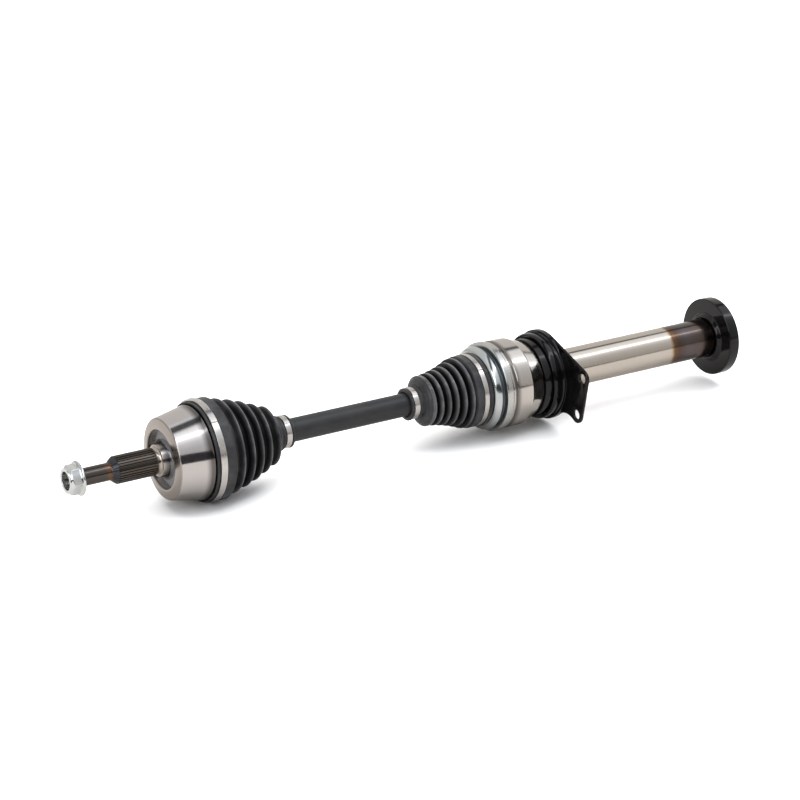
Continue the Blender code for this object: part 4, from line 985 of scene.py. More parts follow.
@dataclass
class JointBoot:
    """Folded rubber boot, made in spans that each cross one joint, with a wide and a slim clamp.

    Stations are measured from the joint's centre.
    """

    node: str
    centre: float
    clamp: float
    clamp_width: float
    clamp_radius: float
    neck_clamp: float
    crests: tuple[Point, ...]
    fold_tops: Pair
    fold_depth: float
    neck_clamp_width: float = 6.0
    neck_radius: float = 15.6
    neck_seat_radius: float = 14.7
    neck_band_height: float = 0.6
    neck_play: float = 0.3
    seat_step: float = 0.1
    end_wall: float = 2.2
    row_step: float = 0.25
    least_rows: int = 4
    fold_edge: float = 2.5
    # Painted highlight on the crests: how it falls off behind each top, where it peaks, and its share on
    # plain parts.
    highlight_falloff: float = 9.0
    highlight_peak: float = 0.62
    plain_bloom_and_sheen: float = 0.3

    def neck_ends(self) -> Pair:
        """Stations of the two ends of the seat for the slim clamp."""
        return self.neck_clamp - self.neck_play, self.neck_clamp + self.neck_clamp_width + self.neck_play

    def fold_points(self, before: Point, after: Point) -> list[Point]:
        """Corners of the folds: each valley lies midway between two crests, a share of their mean under it.

        Args:
            before: point ahead of the folds.
            after: point past them.

        Returns:
            Corners along the folds, both ends left out.
        """
        chain = [before, *self.crests, after]
        half_crest, half_valley = self.fold_tops
        points: list[Point] = []
        for here, ahead in zip(chain, chain[1:]):
            valley, low = (here[0] + ahead[0]) / 2, (here[1] + ahead[1]) / 2 * (1.0 - self.fold_depth)
            points += [(valley - half_valley, low), (valley + half_valley, low)]
            points += [(ahead[0] - half_crest, ahead[1]), (ahead[0] + half_crest, ahead[1])]
        return points[:-2]

    def build_spans(self, outline: Sequence[Point], cuts: Sequence[float], spans: Sequence[Span]) -> None:
        """Build every span: the outline read at even steps, and the same line one wall further in.

        Args:
            outline: corners of the boot's outside.
            cuts: cut length of each corner.
            spans: lengths to make.
        """
        line = rounded(outline, cuts, ring=False)
        for span in spans:
            count = max(self.least_rows, int(abs(span.end - span.start) / self.row_step))
            station = np.linspace(min(span.start, span.end), max(span.start, span.end), count)
            radius = np.interp(station, line[:, 0], line[:, 1])
            outside = np.stack([station + self.centre, radius], axis=1)
            points = turned(np.concatenate([outside, outside[::-1] - (0.0, span.wall)]))
            obj = settle(span.name, self.node, grid_mesh(span.name, points, True), BOOT_RUBBER)
            self.mark_crests(obj.data, station, radius)
            if span.first is span.second:
                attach(obj, span.first.value)
                continue
            start, end = LINE.on_axis(self.centre + span.start), LINE.on_axis(self.centre + span.end)
            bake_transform(obj)

    def mark_crests(self, mesh: bpy.types.Mesh, station: Array, radius: Array) -> None:
        """Note on each point its painted highlight.

        On the folds, the painted highlight grows with the height over the valleys, which keep a painted
        shade, and with the way from the valley ahead to a little past the top of the fold, and falls off
        steeply behind it, so that it lies on the side of each fold that faces the light.

        Args:
            mesh: one span, rows outside first.
            station: of each row outside.
            radius: of each row outside.
        """
        ridge = np.array(self.crests)
        top = np.interp(station, ridge[:, 0], ridge[:, 1])
        share = np.clip(1.0 - (top - radius) / (top * self.fold_depth), 0.0, 1.0)
        folded = (station > ridge[0, 0] - self.fold_edge) & (station < ridge[-1, 0] + self.fold_edge)
        half_folds = np.zeros(2 * len(ridge) - 1)
        half_folds[::2] = ridge[:, 0]
        half_folds[1::2] = (ridge[1:, 0] + ridge[:-1, 0]) / 2
        phase = (np.interp(station, half_folds, np.arange(len(half_folds)) / 2) + 0.5) % 1.0
        rise = np.clip(phase / self.highlight_peak, 0.0, 1.0) ** 2
        # Painted highlight, lighter on the side of each fold's top that faces the light.
        painted_highlight = np.where(phase < 2 * self.highlight_peak - 0.5, share**2 * rise, share**self.highlight_falloff)
        painted_highlight = np.where(folded, painted_highlight, self.plain_bloom_and_sheen)
        rows = np.concatenate([painted_highlight, np.zeros_like(painted_highlight)])
        mark = mesh.attributes.new(CREST_HIGHLIGHT, "FLOAT", "POINT")
        mark.data.foreach_set("value", np.repeat(rows, COLUMNS).astype(np.float32))

    def build_clamps(self, joint: Body) -> None:
        """Put a clamp on each end of the boot.

        Args:
            joint: body under the wide clamp.
        """
        boot, wide, slim = self.node, self.centre + self.clamp, self.centre + self.neck_clamp
        band = Clamp(f"{boot}_wide_band", f"{boot}_large_clamp", joint, wide, self.clamp_width)
        band.build(self.clamp_radius)
        band = Clamp(f"{boot}_neck_band", f"{boot}_small_clamp", Body.BAR, slim, self.neck_clamp_width)
        band.build(self.neck_radius + self.neck_band_height)


@dataclass
class OuterBoot(JointBoot):
    """Boot and clamps of the outer joint."""

    node: str = "outer_boot"
    centre: float = 135.0
    clamp: float = 4.6
    clamp_width: float = 6.8
    clamp_radius: float = 51.2
    clamp_play: float = 0.2
    neck_clamp: float = 96.2
    lip: float = 1.4
    lip_radius: float = 49.6
    seat_radius: float = 49.4
    collar_radius: float = 51.0
    collar_end: float = 21.6
    crests: tuple[Point, ...] = ((32.4, 47.4), (45.2, 43.9), (56.8, 40.0), (68.8, 35.1), (81.4, 29.9))
    fold_tops: Pair = (0.7, 1.7)
    fold_depth: float = 0.17
    folds_end: Point = (89.0, 24.0)
    shoulder_steps: tuple[Point, ...] = (
        (0.0, 19.4), (1.6, 19.0), (2.2, 17.2), (3.4, 18.0), (4.8, 17.8), (5.4, 16.2),
    )
    bead_steps: tuple[Point, ...] = ((0.5, 16.7), (2.3, 16.7), (3.0, 15.0))
    bends: tuple[float, ...] = (11.8, 35.6, 41.8, 48.0, 92.0)  # where the boot passes from body to body

    def build(self) -> None:
        """Build the lip, the spans over the joint, the neck and both clamps."""
        seat, seat_end = self.clamp - self.clamp_play, self.clamp + self.clamp_width + self.clamp_play
        lip = [(self.lip, self.lip_radius), (seat - self.seat_step, self.lip_radius)]
        lip += [(seat, self.seat_radius), (seat_end, self.seat_radius)]
        collar = [(seat_end + self.seat_step, self.collar_radius), (self.collar_end, self.collar_radius)]
        folds = self.fold_points(collar[-1], self.folds_end)
        shoulder = offset(self.shoulder_steps, self.folds_end[0])
        start, end = self.neck_ends()
        neck = [(start, self.neck_radius), (start + self.seat_step, self.neck_seat_radius)]
        neck += [(end, self.neck_seat_radius), (end + self.seat_step, self.neck_radius)]
        bead = offset(self.bead_steps, end)
        outline = lip + collar + folds + shoulder + neck + bead
        cuts = [0.6] * 4 + [0.3, 0.7] + [0.7] * len(folds) + [0.4] * 6 + [0.2] * 4 + [0.7] * 3
        wheel, bump, cage, steer, bar = self.bends
        spans = [
            Span("outer_boot_lip", self.lip, wheel, Body.WHEEL, Body.WHEEL, self.end_wall),
            Span("outer_boot_folds_1", wheel, bump, Body.WHEEL, Body.BUMP),
            Span("outer_boot_folds_2", bump, cage, Body.BUMP, Body.CAGE),
            Span("outer_boot_folds_3", cage, steer, Body.CAGE, Body.STEER),
            Span("outer_boot_folds_4", steer, bar, Body.STEER, Body.BAR),
            Span("outer_boot_neck", bar, bead[-1][0], Body.BAR, Body.BAR, self.end_wall),
        ]
        self.build_spans(outline, cuts, spans)
        self.build_clamps(Body.WHEEL)


@dataclass
class InnerBoot(JointBoot):
    """Boot and clamps of the tripod joint."""

    node: str = "inner_boot"
    centre: float = 478.0
    clamp: float = -27.9
    clamp_width: float = 5.4
    clamp_radius: float = 37.8
    neck_clamp: float = -98.3
    bead_steps: tuple[Point, ...] = ((-3.2, 15.0), (-2.4, 16.8), (-0.6, 16.8))
    neck_steps: tuple[Point, ...] = ((0.9, 16.2), (1.2, 17.4), (2.2, 17.4), (2.6, 16.6))
    dome: float = -86.4
    dome_steps: tuple[Point, ...] = ((-1.0, 16.8), (-0.7, 18.8), (0.0, 19.0), (0.7, 22.6), (3.6, 25.4))
    crests: tuple[Point, ...] = (
        (-80.8, 26.2), (-72.7, 27.2), (-64.4, 28.7), (-56.4, 30.7), (-48.2, 33.3), (-40.4, 36.3),
    )
    fold_tops: Pair = (2.2, 0.5)
    fold_depth: float = 0.14
    collar: float = -35.6
    collar_radius: float = 37.6
    collar_gap: float = 0.5
    seat_radius: float = 36.1
    lip_radius: float = 38.6
    lip_end: float = -18.2
    bends: tuple[float, ...] = (-29.4, -41.4, -47.6, -84.0)  # where the boot passes from body to body

    def build(self) -> None:
        """Build the neck, the spans over the joint, the lip and both clamps."""
        start, end = self.neck_ends()
        bead = offset(self.bead_steps, start)
        neck = [(start - self.seat_step, self.neck_radius), (start, self.neck_seat_radius)]
        neck += [(end, self.neck_seat_radius), (end + self.seat_step, self.neck_radius)]
        rise = offset(self.neck_steps, end) + offset(self.dome_steps, self.dome)
        seat, seat_end = self.clamp - self.collar_gap, self.clamp + self.clamp_width + self.neck_play
        collar = [(self.collar, self.collar_radius), (seat, self.collar_radius)]
        folds = self.fold_points(rise[-1], collar[0])[2:]
        lip = [(seat + self.seat_step, self.seat_radius), (seat_end, self.seat_radius)]
        lip += [(seat_end + self.seat_step, self.lip_radius), (self.lip_end, self.lip_radius)]
        outline = bead + neck + rise + folds + collar + lip
        cuts = [0.7] * 3 + [0.2] * 4 + [0.35] * 5 + [0.3, 0.3, 1.6, 1.6]
        cuts += [1.2] * len(folds) + [0.9, 0.3] + [0.3, 0.3, 0.6, 0.6]
        shaft, slider, tripod, bar = self.bends
        spans = [
            Span("inner_boot_neck", bead[0][0], bar, Body.BAR, Body.BAR, self.end_wall),
            Span("inner_boot_folds_1", tripod, bar, Body.TRIPOD, Body.BAR),
            Span("inner_boot_folds_2", slider, tripod, Body.SLIDER, Body.TRIPOD),
            Span("inner_boot_folds_3", shaft, slider, Body.SHAFT, Body.SLIDER),
            Span("inner_boot_lip", shaft, self.lip_end, Body.SHAFT, Body.SHAFT, self.end_wall),
        ]
        self.build_spans(outline, cuts, spans)
        self.build_clamps(Body.SHAFT)


@dataclass
class HalfShaft:
    """Painted bar between the two joints. Stations are measured from the outer joint's centre."""

    outer_centre: float = 135.0
    spacing: float = 343.0
    radius: float = 12.0
    edge: float = 0.3
    waist_radius: float = 10.6
    waist: Pair = (18.0, 80.0)
    waist_ramps: Pair = (2.6, 8.0)
    seat_radius: float = 10.2
    seat_ramp: Pair = (0.3, 1.8)
    groove_radius: float = 9.3
    race_half_width: float = 11.5
    race_end: float = 4.0
    race_groove: Pair = (2.0, 0.15)
    hub_half_width: float = 10.0
    hub_groove: Pair = (0.15, 1.85)
    dome_radius: float = 17.0
    dome_rows: int = 10

    def build(self) -> None:
        """Turn the bar with its seats, clip grooves, a waist in each boot and the dome that meets the cup."""
        seat, groove, bar, waist = self.seat_radius, self.groove_radius, self.radius, self.waist_radius
        race, hub = self.race_half_width, self.hub_half_width
        near, far = self.waist
        near_ramp, far_ramp = self.waist_ramps
        low, high = self.seat_ramp
        end, clip, clip_end = -race - self.race_end, -race - self.race_groove[0], -race - self.race_groove[1]
        keeper, keeper_end = self.hub_groove
        body = [
            (end, 0.0), (end, seat), (clip, seat), (clip, groove), (clip_end, groove), (clip_end, seat),
            (race + low, seat), (race + high, bar), (near - near_ramp, bar), (near, waist),
            (far, waist), (far + far_ramp, bar),
        ]
        back = [
            (far + far_ramp, bar), (far, waist), (near, waist), (near - near_ramp, bar),
            (hub + high, bar), (hub + low, seat), (-hub - keeper, seat), (-hub - keeper, groove),
            (-hub - keeper_end, groove),
        ]
        body = rounded(body + [(self.spacing - along, size) for along, size in back], self.edge, ring=False)
        sweep = np.linspace(math.acos(groove / self.dome_radius), math.pi / 2, self.dome_rows)
        along, across = self.dome_radius * np.sin(sweep), self.dome_radius * np.cos(sweep)
        dome = np.stack([self.spacing + along, across], axis=1)
        dome[-1, 1] = 0.0
        points = turned(np.concatenate([body, dome]) + (self.outer_centre, 0.0))
        add_piece("half_shaft_bar", "half_shaft", points, BAR_PAINT, Body.BAR, ring=False)


@dataclass
class TripodHousing:
    """Housing of the tripod joint, its plated can and its thrust spring.

    Stations are measured from the joint's centre.
    """

    centre: float = 478.0
    nose: float = -14.5
    nose_radius: float = 39.8
    nose_chamfer: Pair = (4.0, 1.6)
    can_seat_end: float = 2.0
    radius: float = 45.8
    groove: float = 4.2
    groove_width: float = 4.6
    groove_depth: float = 0.9
    cylinder_end: float = 26.0
    cylinder_edge: Pair = (1.4, 0.8)
    cone_end: float = 44.2
    cone_edge: Pair = (1.2, 0.9)
    cone_radius: float = 38.8
    weld: float = 44.0
    weld_radius: float = 24.9
    spring_bore_radius: float = 9.2
    tracks: int = 3
    track_half_width: float = 15.95
    track_pitch_radius: float = 22.0
    track_end: float = 31.6
    spring_start: float = 23.15
    spring_end: float = 54.45
    spring_radius: float = 7.0
    spring_wire_radius: float = 1.0
    spring_turns: int = 5
    spring_rows: int = 60  # a turn
    spring_columns: int = 16  # round the wire
    can_profile: tuple[Point, ...] = (
        (-30.6, 33.4), (-17.8, 33.4),  # neck
        (-17.6, 38.4), (-16.4, 41.2), (-13.8, 43.0), (-10.9, 43.8),  # shoulder and dome
        (-10.2, 41.0), (-6.2, 41.0),  # cove
        (-5.7, 46.2), (-4.6, 46.7), (1.0, 46.7), (1.7, 46.0),  # rolled rim
        (1.7, 40.2), (-13.0, 40.2), (-16.4, 38.2), (-16.6, 32.2), (-30.6, 32.2),  # inside
    )
    can_cuts: tuple[float, ...] = (
        0.3, 0.2, 1.2, 1.5, 1.4, 0.6, 0.8, 0.8, 0.5, 0.5, 0.5, 0.4, 0.1, 0.2, 0.2, 0.2, 0.2,
    )

    def build(self) -> None:
        """Build the housing, the can and the thrust spring."""
        self.build_housing()
        points = turned(rounded(self.can_profile, self.can_cuts) + (self.centre, 0.0))
        add_piece("plated_can", "boot_can", points, CAN_ZINC, Body.SHAFT)
        self.build_spring()

    def build_housing(self) -> None:
        """Housing with its three-lobed hollow.

        Inside, the radius is that of three round-ended slots: along a slot's axis its circle's far side,
        and between slots the walls that run straight to the middle, half width / sin of the angle.
        """
        nose, big, half = self.nose_radius, self.radius, self.track_half_width
        deep, groove_end = self.groove_depth, self.groove + self.groove_width
        outside = [
            (self.nose, nose - self.nose_chamfer[1]), (self.nose + self.nose_chamfer[0], nose),
            (self.can_seat_end, nose), (self.can_seat_end, big),
            (self.groove, big), (self.groove + deep, big - deep), (groove_end - deep, big - deep),
            (groove_end, big), (self.cylinder_end, big),
            (self.cylinder_end + self.cylinder_edge[0], big - self.cylinder_edge[1]),
            (self.cone_end - self.cone_edge[0], self.cone_radius + self.cone_edge[1]),
            (self.cone_end, self.cone_radius), (self.cone_end, self.weld_radius),
            (self.weld, self.weld_radius), (self.weld, self.spring_bore_radius),
            (self.track_end, self.spring_bore_radius),
        ]
        cuts = [0.0, 0.5, 0.1, 0.4, 0.2, 0.2, 0.2, 0.2, 0.5, 0.5, 0.8, 0.5, 0.1, 0.1, 0.2, 0.0]
        outside = rounded(outside, cuts, ring=False) + (self.centre, 0.0)
        aside = np.abs(np.sin(from_nearest(self.tracks)))
        lobe = far_wall(self.track_pitch_radius, half, self.track_pitch_radius * aside)
        slot = half / np.maximum(aside, 1e-3)
        hollow = np.where(slot < np.hypot(half, self.track_pitch_radius), slot, lobe)
        station = np.array([[self.track_end], [self.nose]]) + self.centre
        inside = LINE.place(station, np.repeat(hollow, 2, axis=0), around())
        points = np.concatenate([turned(outside, FINE_COLUMNS), inside])
        add_piece("tripod_housing_shell", "tripod_housing", points, HOUSING_STEEL, Body.SHAFT)

    def build_spring(self) -> None:
        """Thrust spring between the cup and the tube's plug.

        A round wire follows a helix: at each row a circle of the wire's radius stands in the plane of the
        axle's radius and the axle, and a row with no radius closes each end.
        """
        turn = np.linspace(0.0, TURN * self.spring_turns, self.spring_rows * self.spring_turns + 1)
        turn = np.concatenate([turn[:1], turn, turn[-1:]])[:, None]
        station = self.spring_start + (self.spring_end - self.spring_start) * turn / turn[-1]
        wire = np.full_like(turn, self.spring_wire_radius)
        wire[[0, -1]] = 0.0
        section = around(self.spring_columns)
        station = station + self.centre + wire * np.sin(section)
        points = LINE.place(station, self.spring_radius + wire * np.cos(section), turn)
        mesh = grid_mesh("thrust_coil", points, False, turned_over=False)
        obj = settle("thrust_coil", "thrust_spring", mesh, SPRING_STEEL)
        ends = (LINE.on_axis(self.centre + end) for end in (self.spring_end, self.spring_start))
        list(ends)
        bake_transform(obj)


@dataclass
class SupportBearing:
    """Support bearing in its pressed housing with a bolted plate. Stations run from the bearing's centre."""

    centre: float = 533.3
    outer_radius: float = 40.0
    bore_radius: float = 20.8
    half_width: float = 9.0
    race_share: float = 0.3125
    track_radius: float = 6.3
    track_rows: int = 12
    race_cuts: Pair = (0.8, 0.5)
    seal_seat: float = 1.0125
    seal_play: float = 0.3
    seal: Pair = (7.9, 8.8)
    seal_bead: Pair = (0.25, 1.0)
    seal_cut: float = 0.15
    clip: Section = (9.3, 10.7, 20.1, 22.5)
    keeper: Section = (9.3, 10.7, 37.5, 41.2)
    clip_cut: float = 0.3
    shield: Section = (-9.6, -9.1, 25.2, 36.9)
    shield_cut: float = 0.15
    cup_front: tuple[Point, ...] = (
        (-10.4, 37.3), (-10.4, 40.9), (0.6, 41.1),  # mouth and barrel
        (0.8, 42.6), (-1.9, 43.0), (-2.2, 44.0), (0.0, 45.2), (3.0, 45.4), (7.6, 44.3),  # rolled lip
    )
    cup_cuts: tuple[float, ...] = (
        0.2, 0.5, 0.5, 0.5, 0.4, 0.5, 1.2, 1.6, 1.4, 0.3, 0.5, 0.8, 0.4, 0.2, 0.1,
    )
    cup_floor: float = -9.3
    rim_front: float = 9.8
    rim_root_radius: float = 45.0
    pocket_radius: float = 40.3
    plate_front: float = 12.8
    plate_thickness: float = 2.7
    plate_radius: float = 47.3
    plate_rim_width: float = 2.0
    plate_edge: float = 0.6
    plate_edge_steps: int = 3
    least_arc_points: int = 6
    hole_radius: float = 5.0
    hole_points_every: int = 3  # columns of the rim for one point of a hole
    upper_hole: Pair = (-71.0, 16.9)
    upper_lobe_radius: float = 9.4
    lower_hole: Pair = (-62.4, -25.2)
    lower_lobe_radius: float = 9.2
    notch_radius: float = 22.4
    weld_distance_metres: float = 0.00001

    def build(self) -> None:
        """Build the cup, the plate and the bearing's rings, seals and clips."""
        self.build_cup()
        self.build_plate()
        self.build_rings()

    def ring_piece(
        self, name: str, node: str, corners: Sequence[Point], cut: Cut, finish: Finish, body: Body
    ) -> None:
        """Turn a closed profile, given from the bearing's centre, into a piece."""
        points = turned(rounded(corners, cut) + (self.centre, 0.0))
        add_piece(name, node, points, finish, body)

    def build_cup(self) -> None:
        """Pressed cup that holds the bearing, flared out to the plate."""
        rim, back, pocket = self.plate_radius, self.plate_front + self.plate_thickness, self.pocket_radius
        corners = [
            *self.cup_front, (self.rim_front, self.rim_root_radius), (self.rim_front, rim), (back, rim),
            (back, pocket), (self.cup_floor, pocket), (self.cup_floor, self.cup_front[0][1]),
        ]
        self.ring_piece("bearing_cup", "bearing_housing", corners, self.cup_cuts, BLACK_PAINT, Body.CARRIER)

    def plate_outline(self) -> Array:
        """Outline of the plate: round rim, two lobes with straight sides, and a notch under the lower lobe.

        Straight sides are the outer tangents of two circles. The notch's centre lies one notch radius
        outside both the rim and the lower lobe, so its arc meets both without a corner.

        Returns:
            (across, up) points round the axle, anticlockwise.
        """
        rim, upper, lower = np.zeros(2), np.array(self.upper_hole), np.array(self.lower_hole)
        span = np.linalg.norm(lower)
        reach = self.plate_radius + self.notch_radius
        ahead = (span**2 + reach**2 - (self.lower_lobe_radius + self.notch_radius) ** 2) / (2 * span)
        unit = lower / span
        notch = unit * ahead + np.array((-unit[1], unit[0])) * math.sqrt(reach**2 - ahead**2)

        def heading(first: Array, second: Array) -> float:
            """Angle of the line from one point to another."""
            return math.atan2(*(second - first)[::-1])

        def tangent_angle(first: Array, first_radius: float, second: Array, second_radius: float) -> float:
            """Angle of the outward normal of the right-hand tangent from one circle to another."""
            turn = math.acos((first_radius - second_radius) / np.linalg.norm(second - first))
            return heading(first, second) - turn

        def arc(centre: Array, radius: float, start: float, end: float, way: int = 1) -> Array:
            """Arc from one angle to another.

            Args:
                centre: of the arc.
                radius: of the arc.
                start: first angle.
                end: last angle.
                way: 1 to go anticlockwise, -1 to go clockwise.

            Returns:
                Points along the arc.
            """
            sweep = ((end - start) * way) % TURN * way
            count = max(self.least_arc_points, int(abs(sweep) / TURN * COLUMNS))
            angles = start + np.linspace(0.0, sweep, count)
            return centre + radius * np.stack([np.cos(angles), np.sin(angles)], axis=1)

        to_upper = tangent_angle(rim, self.plate_radius, upper, self.upper_lobe_radius)
        to_lower = tangent_angle(upper, self.upper_lobe_radius, lower, self.lower_lobe_radius)
        return np.concatenate([
            arc(rim, self.plate_radius, heading(rim, notch), to_upper),
            arc(upper, self.upper_lobe_radius, to_upper, to_lower),
            arc(lower, self.lower_lobe_radius, to_lower, heading(lower, notch)),
            arc(notch, self.notch_radius, heading(notch, lower), heading(notch, rim), -1)[1:-1],
        ])

    def build_plate(self) -> None:
        """Flange plate: the outline and its round holes filled, thickened and rounded at the edges."""
        circle = np.stack([np.cos(around(COLUMNS)[0]), np.sin(around(COLUMNS)[0])], axis=1)
        loops = [self.plate_outline(), circle * (self.plate_radius - self.plate_rim_width)]
        hole = circle[:: self.hole_points_every] * self.hole_radius
        loops += [hole + spot for spot in (self.upper_hole, self.lower_hole)]
        flat = bpy.data.curves.new("flange_plate", "CURVE")
        flat.dimensions = "2D"
        flat.fill_mode = "BOTH"
        flat.bevel_depth = self.plate_edge * MM
        flat.bevel_resolution = self.plate_edge_steps
        flat.offset = -self.plate_edge * MM
        flat.extrude = (self.plate_thickness / 2 - self.plate_edge) * MM
        for loop in loops:
            spline = flat.splines.new("POLY")
            spline.points.add(len(loop) - 1)
            corners = np.zeros((len(loop), 4))
            corners[:, :2] = loop * MM
            corners[:, 3] = 1.0
            spline.points.foreach_set("co", corners.ravel())
            spline.use_cyclic_u = True
        holder = bpy.data.objects.new("flange_plate", flat)
        bpy.context.scene.collection.objects.link(holder)
        graph = bpy.context.evaluated_depsgraph_get()
        mesh = bpy.data.meshes.new_from_object(holder.evaluated_get(graph))
        bpy.data.objects.remove(holder)
        self.place_plate(mesh)
        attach(settle("flange_plate", "bearing_housing", mesh, BLACK_PAINT), Body.CARRIER.value)

    def place_plate(self, flat: bpy.types.Mesh) -> None:
        """Weld the flat plate and stand it across the axle: its x to +Y, its y to +Z and its z to +X.

        Args:
            flat: the plate as filled, in its own plane.
        """
        form = bmesh.new()
        form.from_mesh(flat)
        bmesh.ops.remove_doubles(form, verts=form.verts, dist=self.weld_distance_metres)
        bmesh.ops.recalc_face_normals(form, faces=form.faces)
        form.to_mesh(flat)
        form.free()
        own = np.zeros(len(flat.vertices) * 3, np.float32)
        flat.vertices.foreach_get("co", own)
        middle = LINE.on_axis(self.centre + self.plate_front + self.plate_thickness / 2)
        flat.vertices.foreach_set("co", (own.reshape(-1, 3)[:, [2, 0, 1]] + np.float32(middle)).ravel())
        flat.shade_smooth()
        flat.set_sharp_from_angle(angle=SHARP_ANGLE)
        flat.update()

    def build_rings(self) -> None:
        """Rings, seals, clips and dust shield that show at the housing's two mouths."""
        bore, outer, half = self.bore_radius, self.outer_radius, self.half_width
        wall = (outer - bore) * self.race_share
        inner_top, outer_low, pitch = bore + wall, outer - wall, (bore + outer) / 2
        dip = math.acos((pitch - inner_top) / self.track_radius)
        sweep = np.linspace(-dip, dip, self.track_rows)
        track = self.track_radius * np.stack([np.sin(sweep), np.cos(sweep)], axis=1)
        lower, upper = track * (1.0, -1.0) + (0.0, pitch), track[::-1] + (0.0, pitch)
        inner_race = [(half, bore), (-half, bore), (-half, inner_top), *lower, (half, inner_top)]
        outer_race = [(-half, outer), (half, outer), (half, outer_low), *upper, (-half, outer_low)]
        edge, lip = self.race_cuts
        cuts = [edge, edge, lip, *([0.0] * self.track_rows), lip]
        low, high = inner_top * self.seal_seat + self.seal_play, outer_low - self.seal_play
        back, front = self.seal
        bead_height, bead = self.seal_bead
        beaded = [(back, high), (front, high), (front, low + 2 * bead), (front + bead_height, low + bead)]
        beaded += [(front, low), (back, low)]
        seals = {"outboard": block(-front, -back, low, high), "inboard": beaded}
        clip, keeper, shield = (block(*sizes) for sizes in (self.clip, self.keeper, self.shield))
        ring, shaft, carrier = self.ring_piece, Body.SHAFT, Body.CARRIER
        ring("bearing_inner_race", "bearing_inner_ring", inner_race, cuts, GROUND_STEEL, shaft)
        ring("bearing_outer_race", "bearing_outer_ring", outer_race, cuts, GROUND_STEEL, carrier)
        for side, corners in seals.items():
            ring(f"seal_{side}", f"bearing_seal_{side}", corners, self.seal_cut, SEAL_RUBBER, carrier)
        ring("bearing_clip", "bearing_circlip", clip, self.clip_cut, SPRING_STEEL, shaft)
        ring("bearing_keeper", "bearing_retaining_ring", keeper, self.clip_cut, SPRING_STEEL, carrier)
        ring("dust_shield", "bearing_dust_shield", shield, self.shield_cut, BLACK_PAINT, shaft)


@dataclass
class IntermediateTube:
    """Turned tube with a splined socket, its seal ring and the black disc at its end.

    The tube's stations run from the bearing's centre, and the disc's from its own face.
    """

    bearing: float = 533.3
    start: float = -11.0
    shoulder_end: float = -9.3
    shoulder_radius: float = 24.5
    seat_radius: float = 20.5
    clip_groove: Pair = (9.15, 10.85)
    clip_groove_radius: float = 19.8
    seat_end: Pair = (12.35, 12.45)
    radius: float = 20.7
    end: float = 240.7
    mouth_radius: float = 15.3
    mouth_depth: float = 2.6
    bore_radius: float = 13.4
    bore_floor: float = 0.3
    spring_bore_radius: float = 9.2
    socket_teeth: int = 20
    socket_minor: float = 11.9
    socket_major: float = 12.9
    socket_length: float = 50.0
    socket_lead: float = 6.0
    socket_chamfer: float = 1.5
    socket_runout: float = 0.2
    seal_inset: float = 1.3
    seal_radius: float = 14.25
    seal_half_sizes: Pair = (1.0, 0.75)
    seal_rows: int = 24
    disc_face: float = 763.2
    disc_radius: float = 41.8
    disc_thickness: float = 12.4
    disc_play: float = 0.3
    boss_radius: float = 25.4
    boss_height: float = 4.0
    boss_mouth: Pair = (0.6, 1.2)
    boss_slope: Pair = (1.6, 1.4)

    def build(self) -> None:
        """Build the tube, the seal ring and the disc."""
        self.build_tube()
        self.build_seal()
        self.build_disc()

    def build_tube(self) -> None:
        """Tube turned outside and bored inside.

        Over the socket's length the inner radius swings from minor to major by a clipped cosine of the angle
        times the number of teeth.
        """
        seat, bore, spring = self.seat_radius, self.bore_radius, self.spring_bore_radius
        mouth, mouth_end = self.mouth_radius, self.end - self.mouth_depth
        (clip, clip_end), groove = self.clip_groove, self.clip_groove_radius
        socket_end = self.end - self.socket_lead
        socket_start = socket_end - self.socket_length
        corners = [
            (self.start, spring), (self.start, self.shoulder_radius),
            (self.shoulder_end, self.shoulder_radius), (self.shoulder_end, seat),
            (clip, seat), (clip, groove), (clip_end, groove), (clip_end, seat),
            (self.seat_end[0], seat), (self.seat_end[1], self.radius), (self.end, self.radius),
            (self.end, mouth), (mouth_end, mouth), (mouth_end, bore), (socket_end, bore),
            (socket_end - self.socket_chamfer, self.socket_minor), (socket_start, self.socket_minor),
            (socket_start - self.socket_runout, bore), (self.bore_floor, bore), (self.bore_floor, spring),
        ]
        profile = rounded(corners, [0.3] * 10 + [0.8, 0.4] + [0.15] * 8)
        station, radius = profile[:, :1], profile[:, 1:]
        inside = (radius < self.socket_major) & (station > socket_start - self.socket_runout / 2)
        cut = np.where(inside, np.clip(self.socket_major - radius, 0.0, None), 0.0)
        points = LINE.place(station + self.bearing, radius + cut * tooth_wave(self.socket_teeth), around())
        add_piece("turned_tube", "intermediate_tube", points, TUBE_STEEL, Body.SHAFT)

    def build_seal(self) -> None:
        """Seal ring in the mouth of the socket: a round section."""
        turn = around(self.seal_rows)[0]
        half_width, half_height = self.seal_half_sizes
        station = self.bearing + self.end - self.seal_inset + half_width * np.cos(turn)
        section = np.stack([station, self.seal_radius + half_height * np.sin(turn)], axis=1)
        add_piece("socket_seal", "socket_seal_ring", turned(section), SEAL_RUBBER, Body.SHAFT)

    def build_disc(self) -> None:
        """Thick disc with a low boss round the tube and eased edges."""
        bore, end, top = self.radius + self.disc_play, self.disc_thickness, -self.boss_height
        inset, step = self.boss_mouth
        corners = [
            (top + inset, bore), (top, bore + step), (top, self.boss_radius - self.boss_slope[0]),
            (top / 2, self.boss_radius), (0.0, self.boss_radius + self.boss_slope[1]),
            (0.0, self.disc_radius), (end, self.disc_radius), (end, bore),
        ]
        profile = rounded(corners, [0.3, 0.5, 1.2, 1.0, 1.4, 1.3, 1.1, 0.5]) + (self.disc_face, 0.0)
        add_piece("end_dust_disc", "end_disc", turned(profile), BLACK_PAINT, Body.SHAFT)


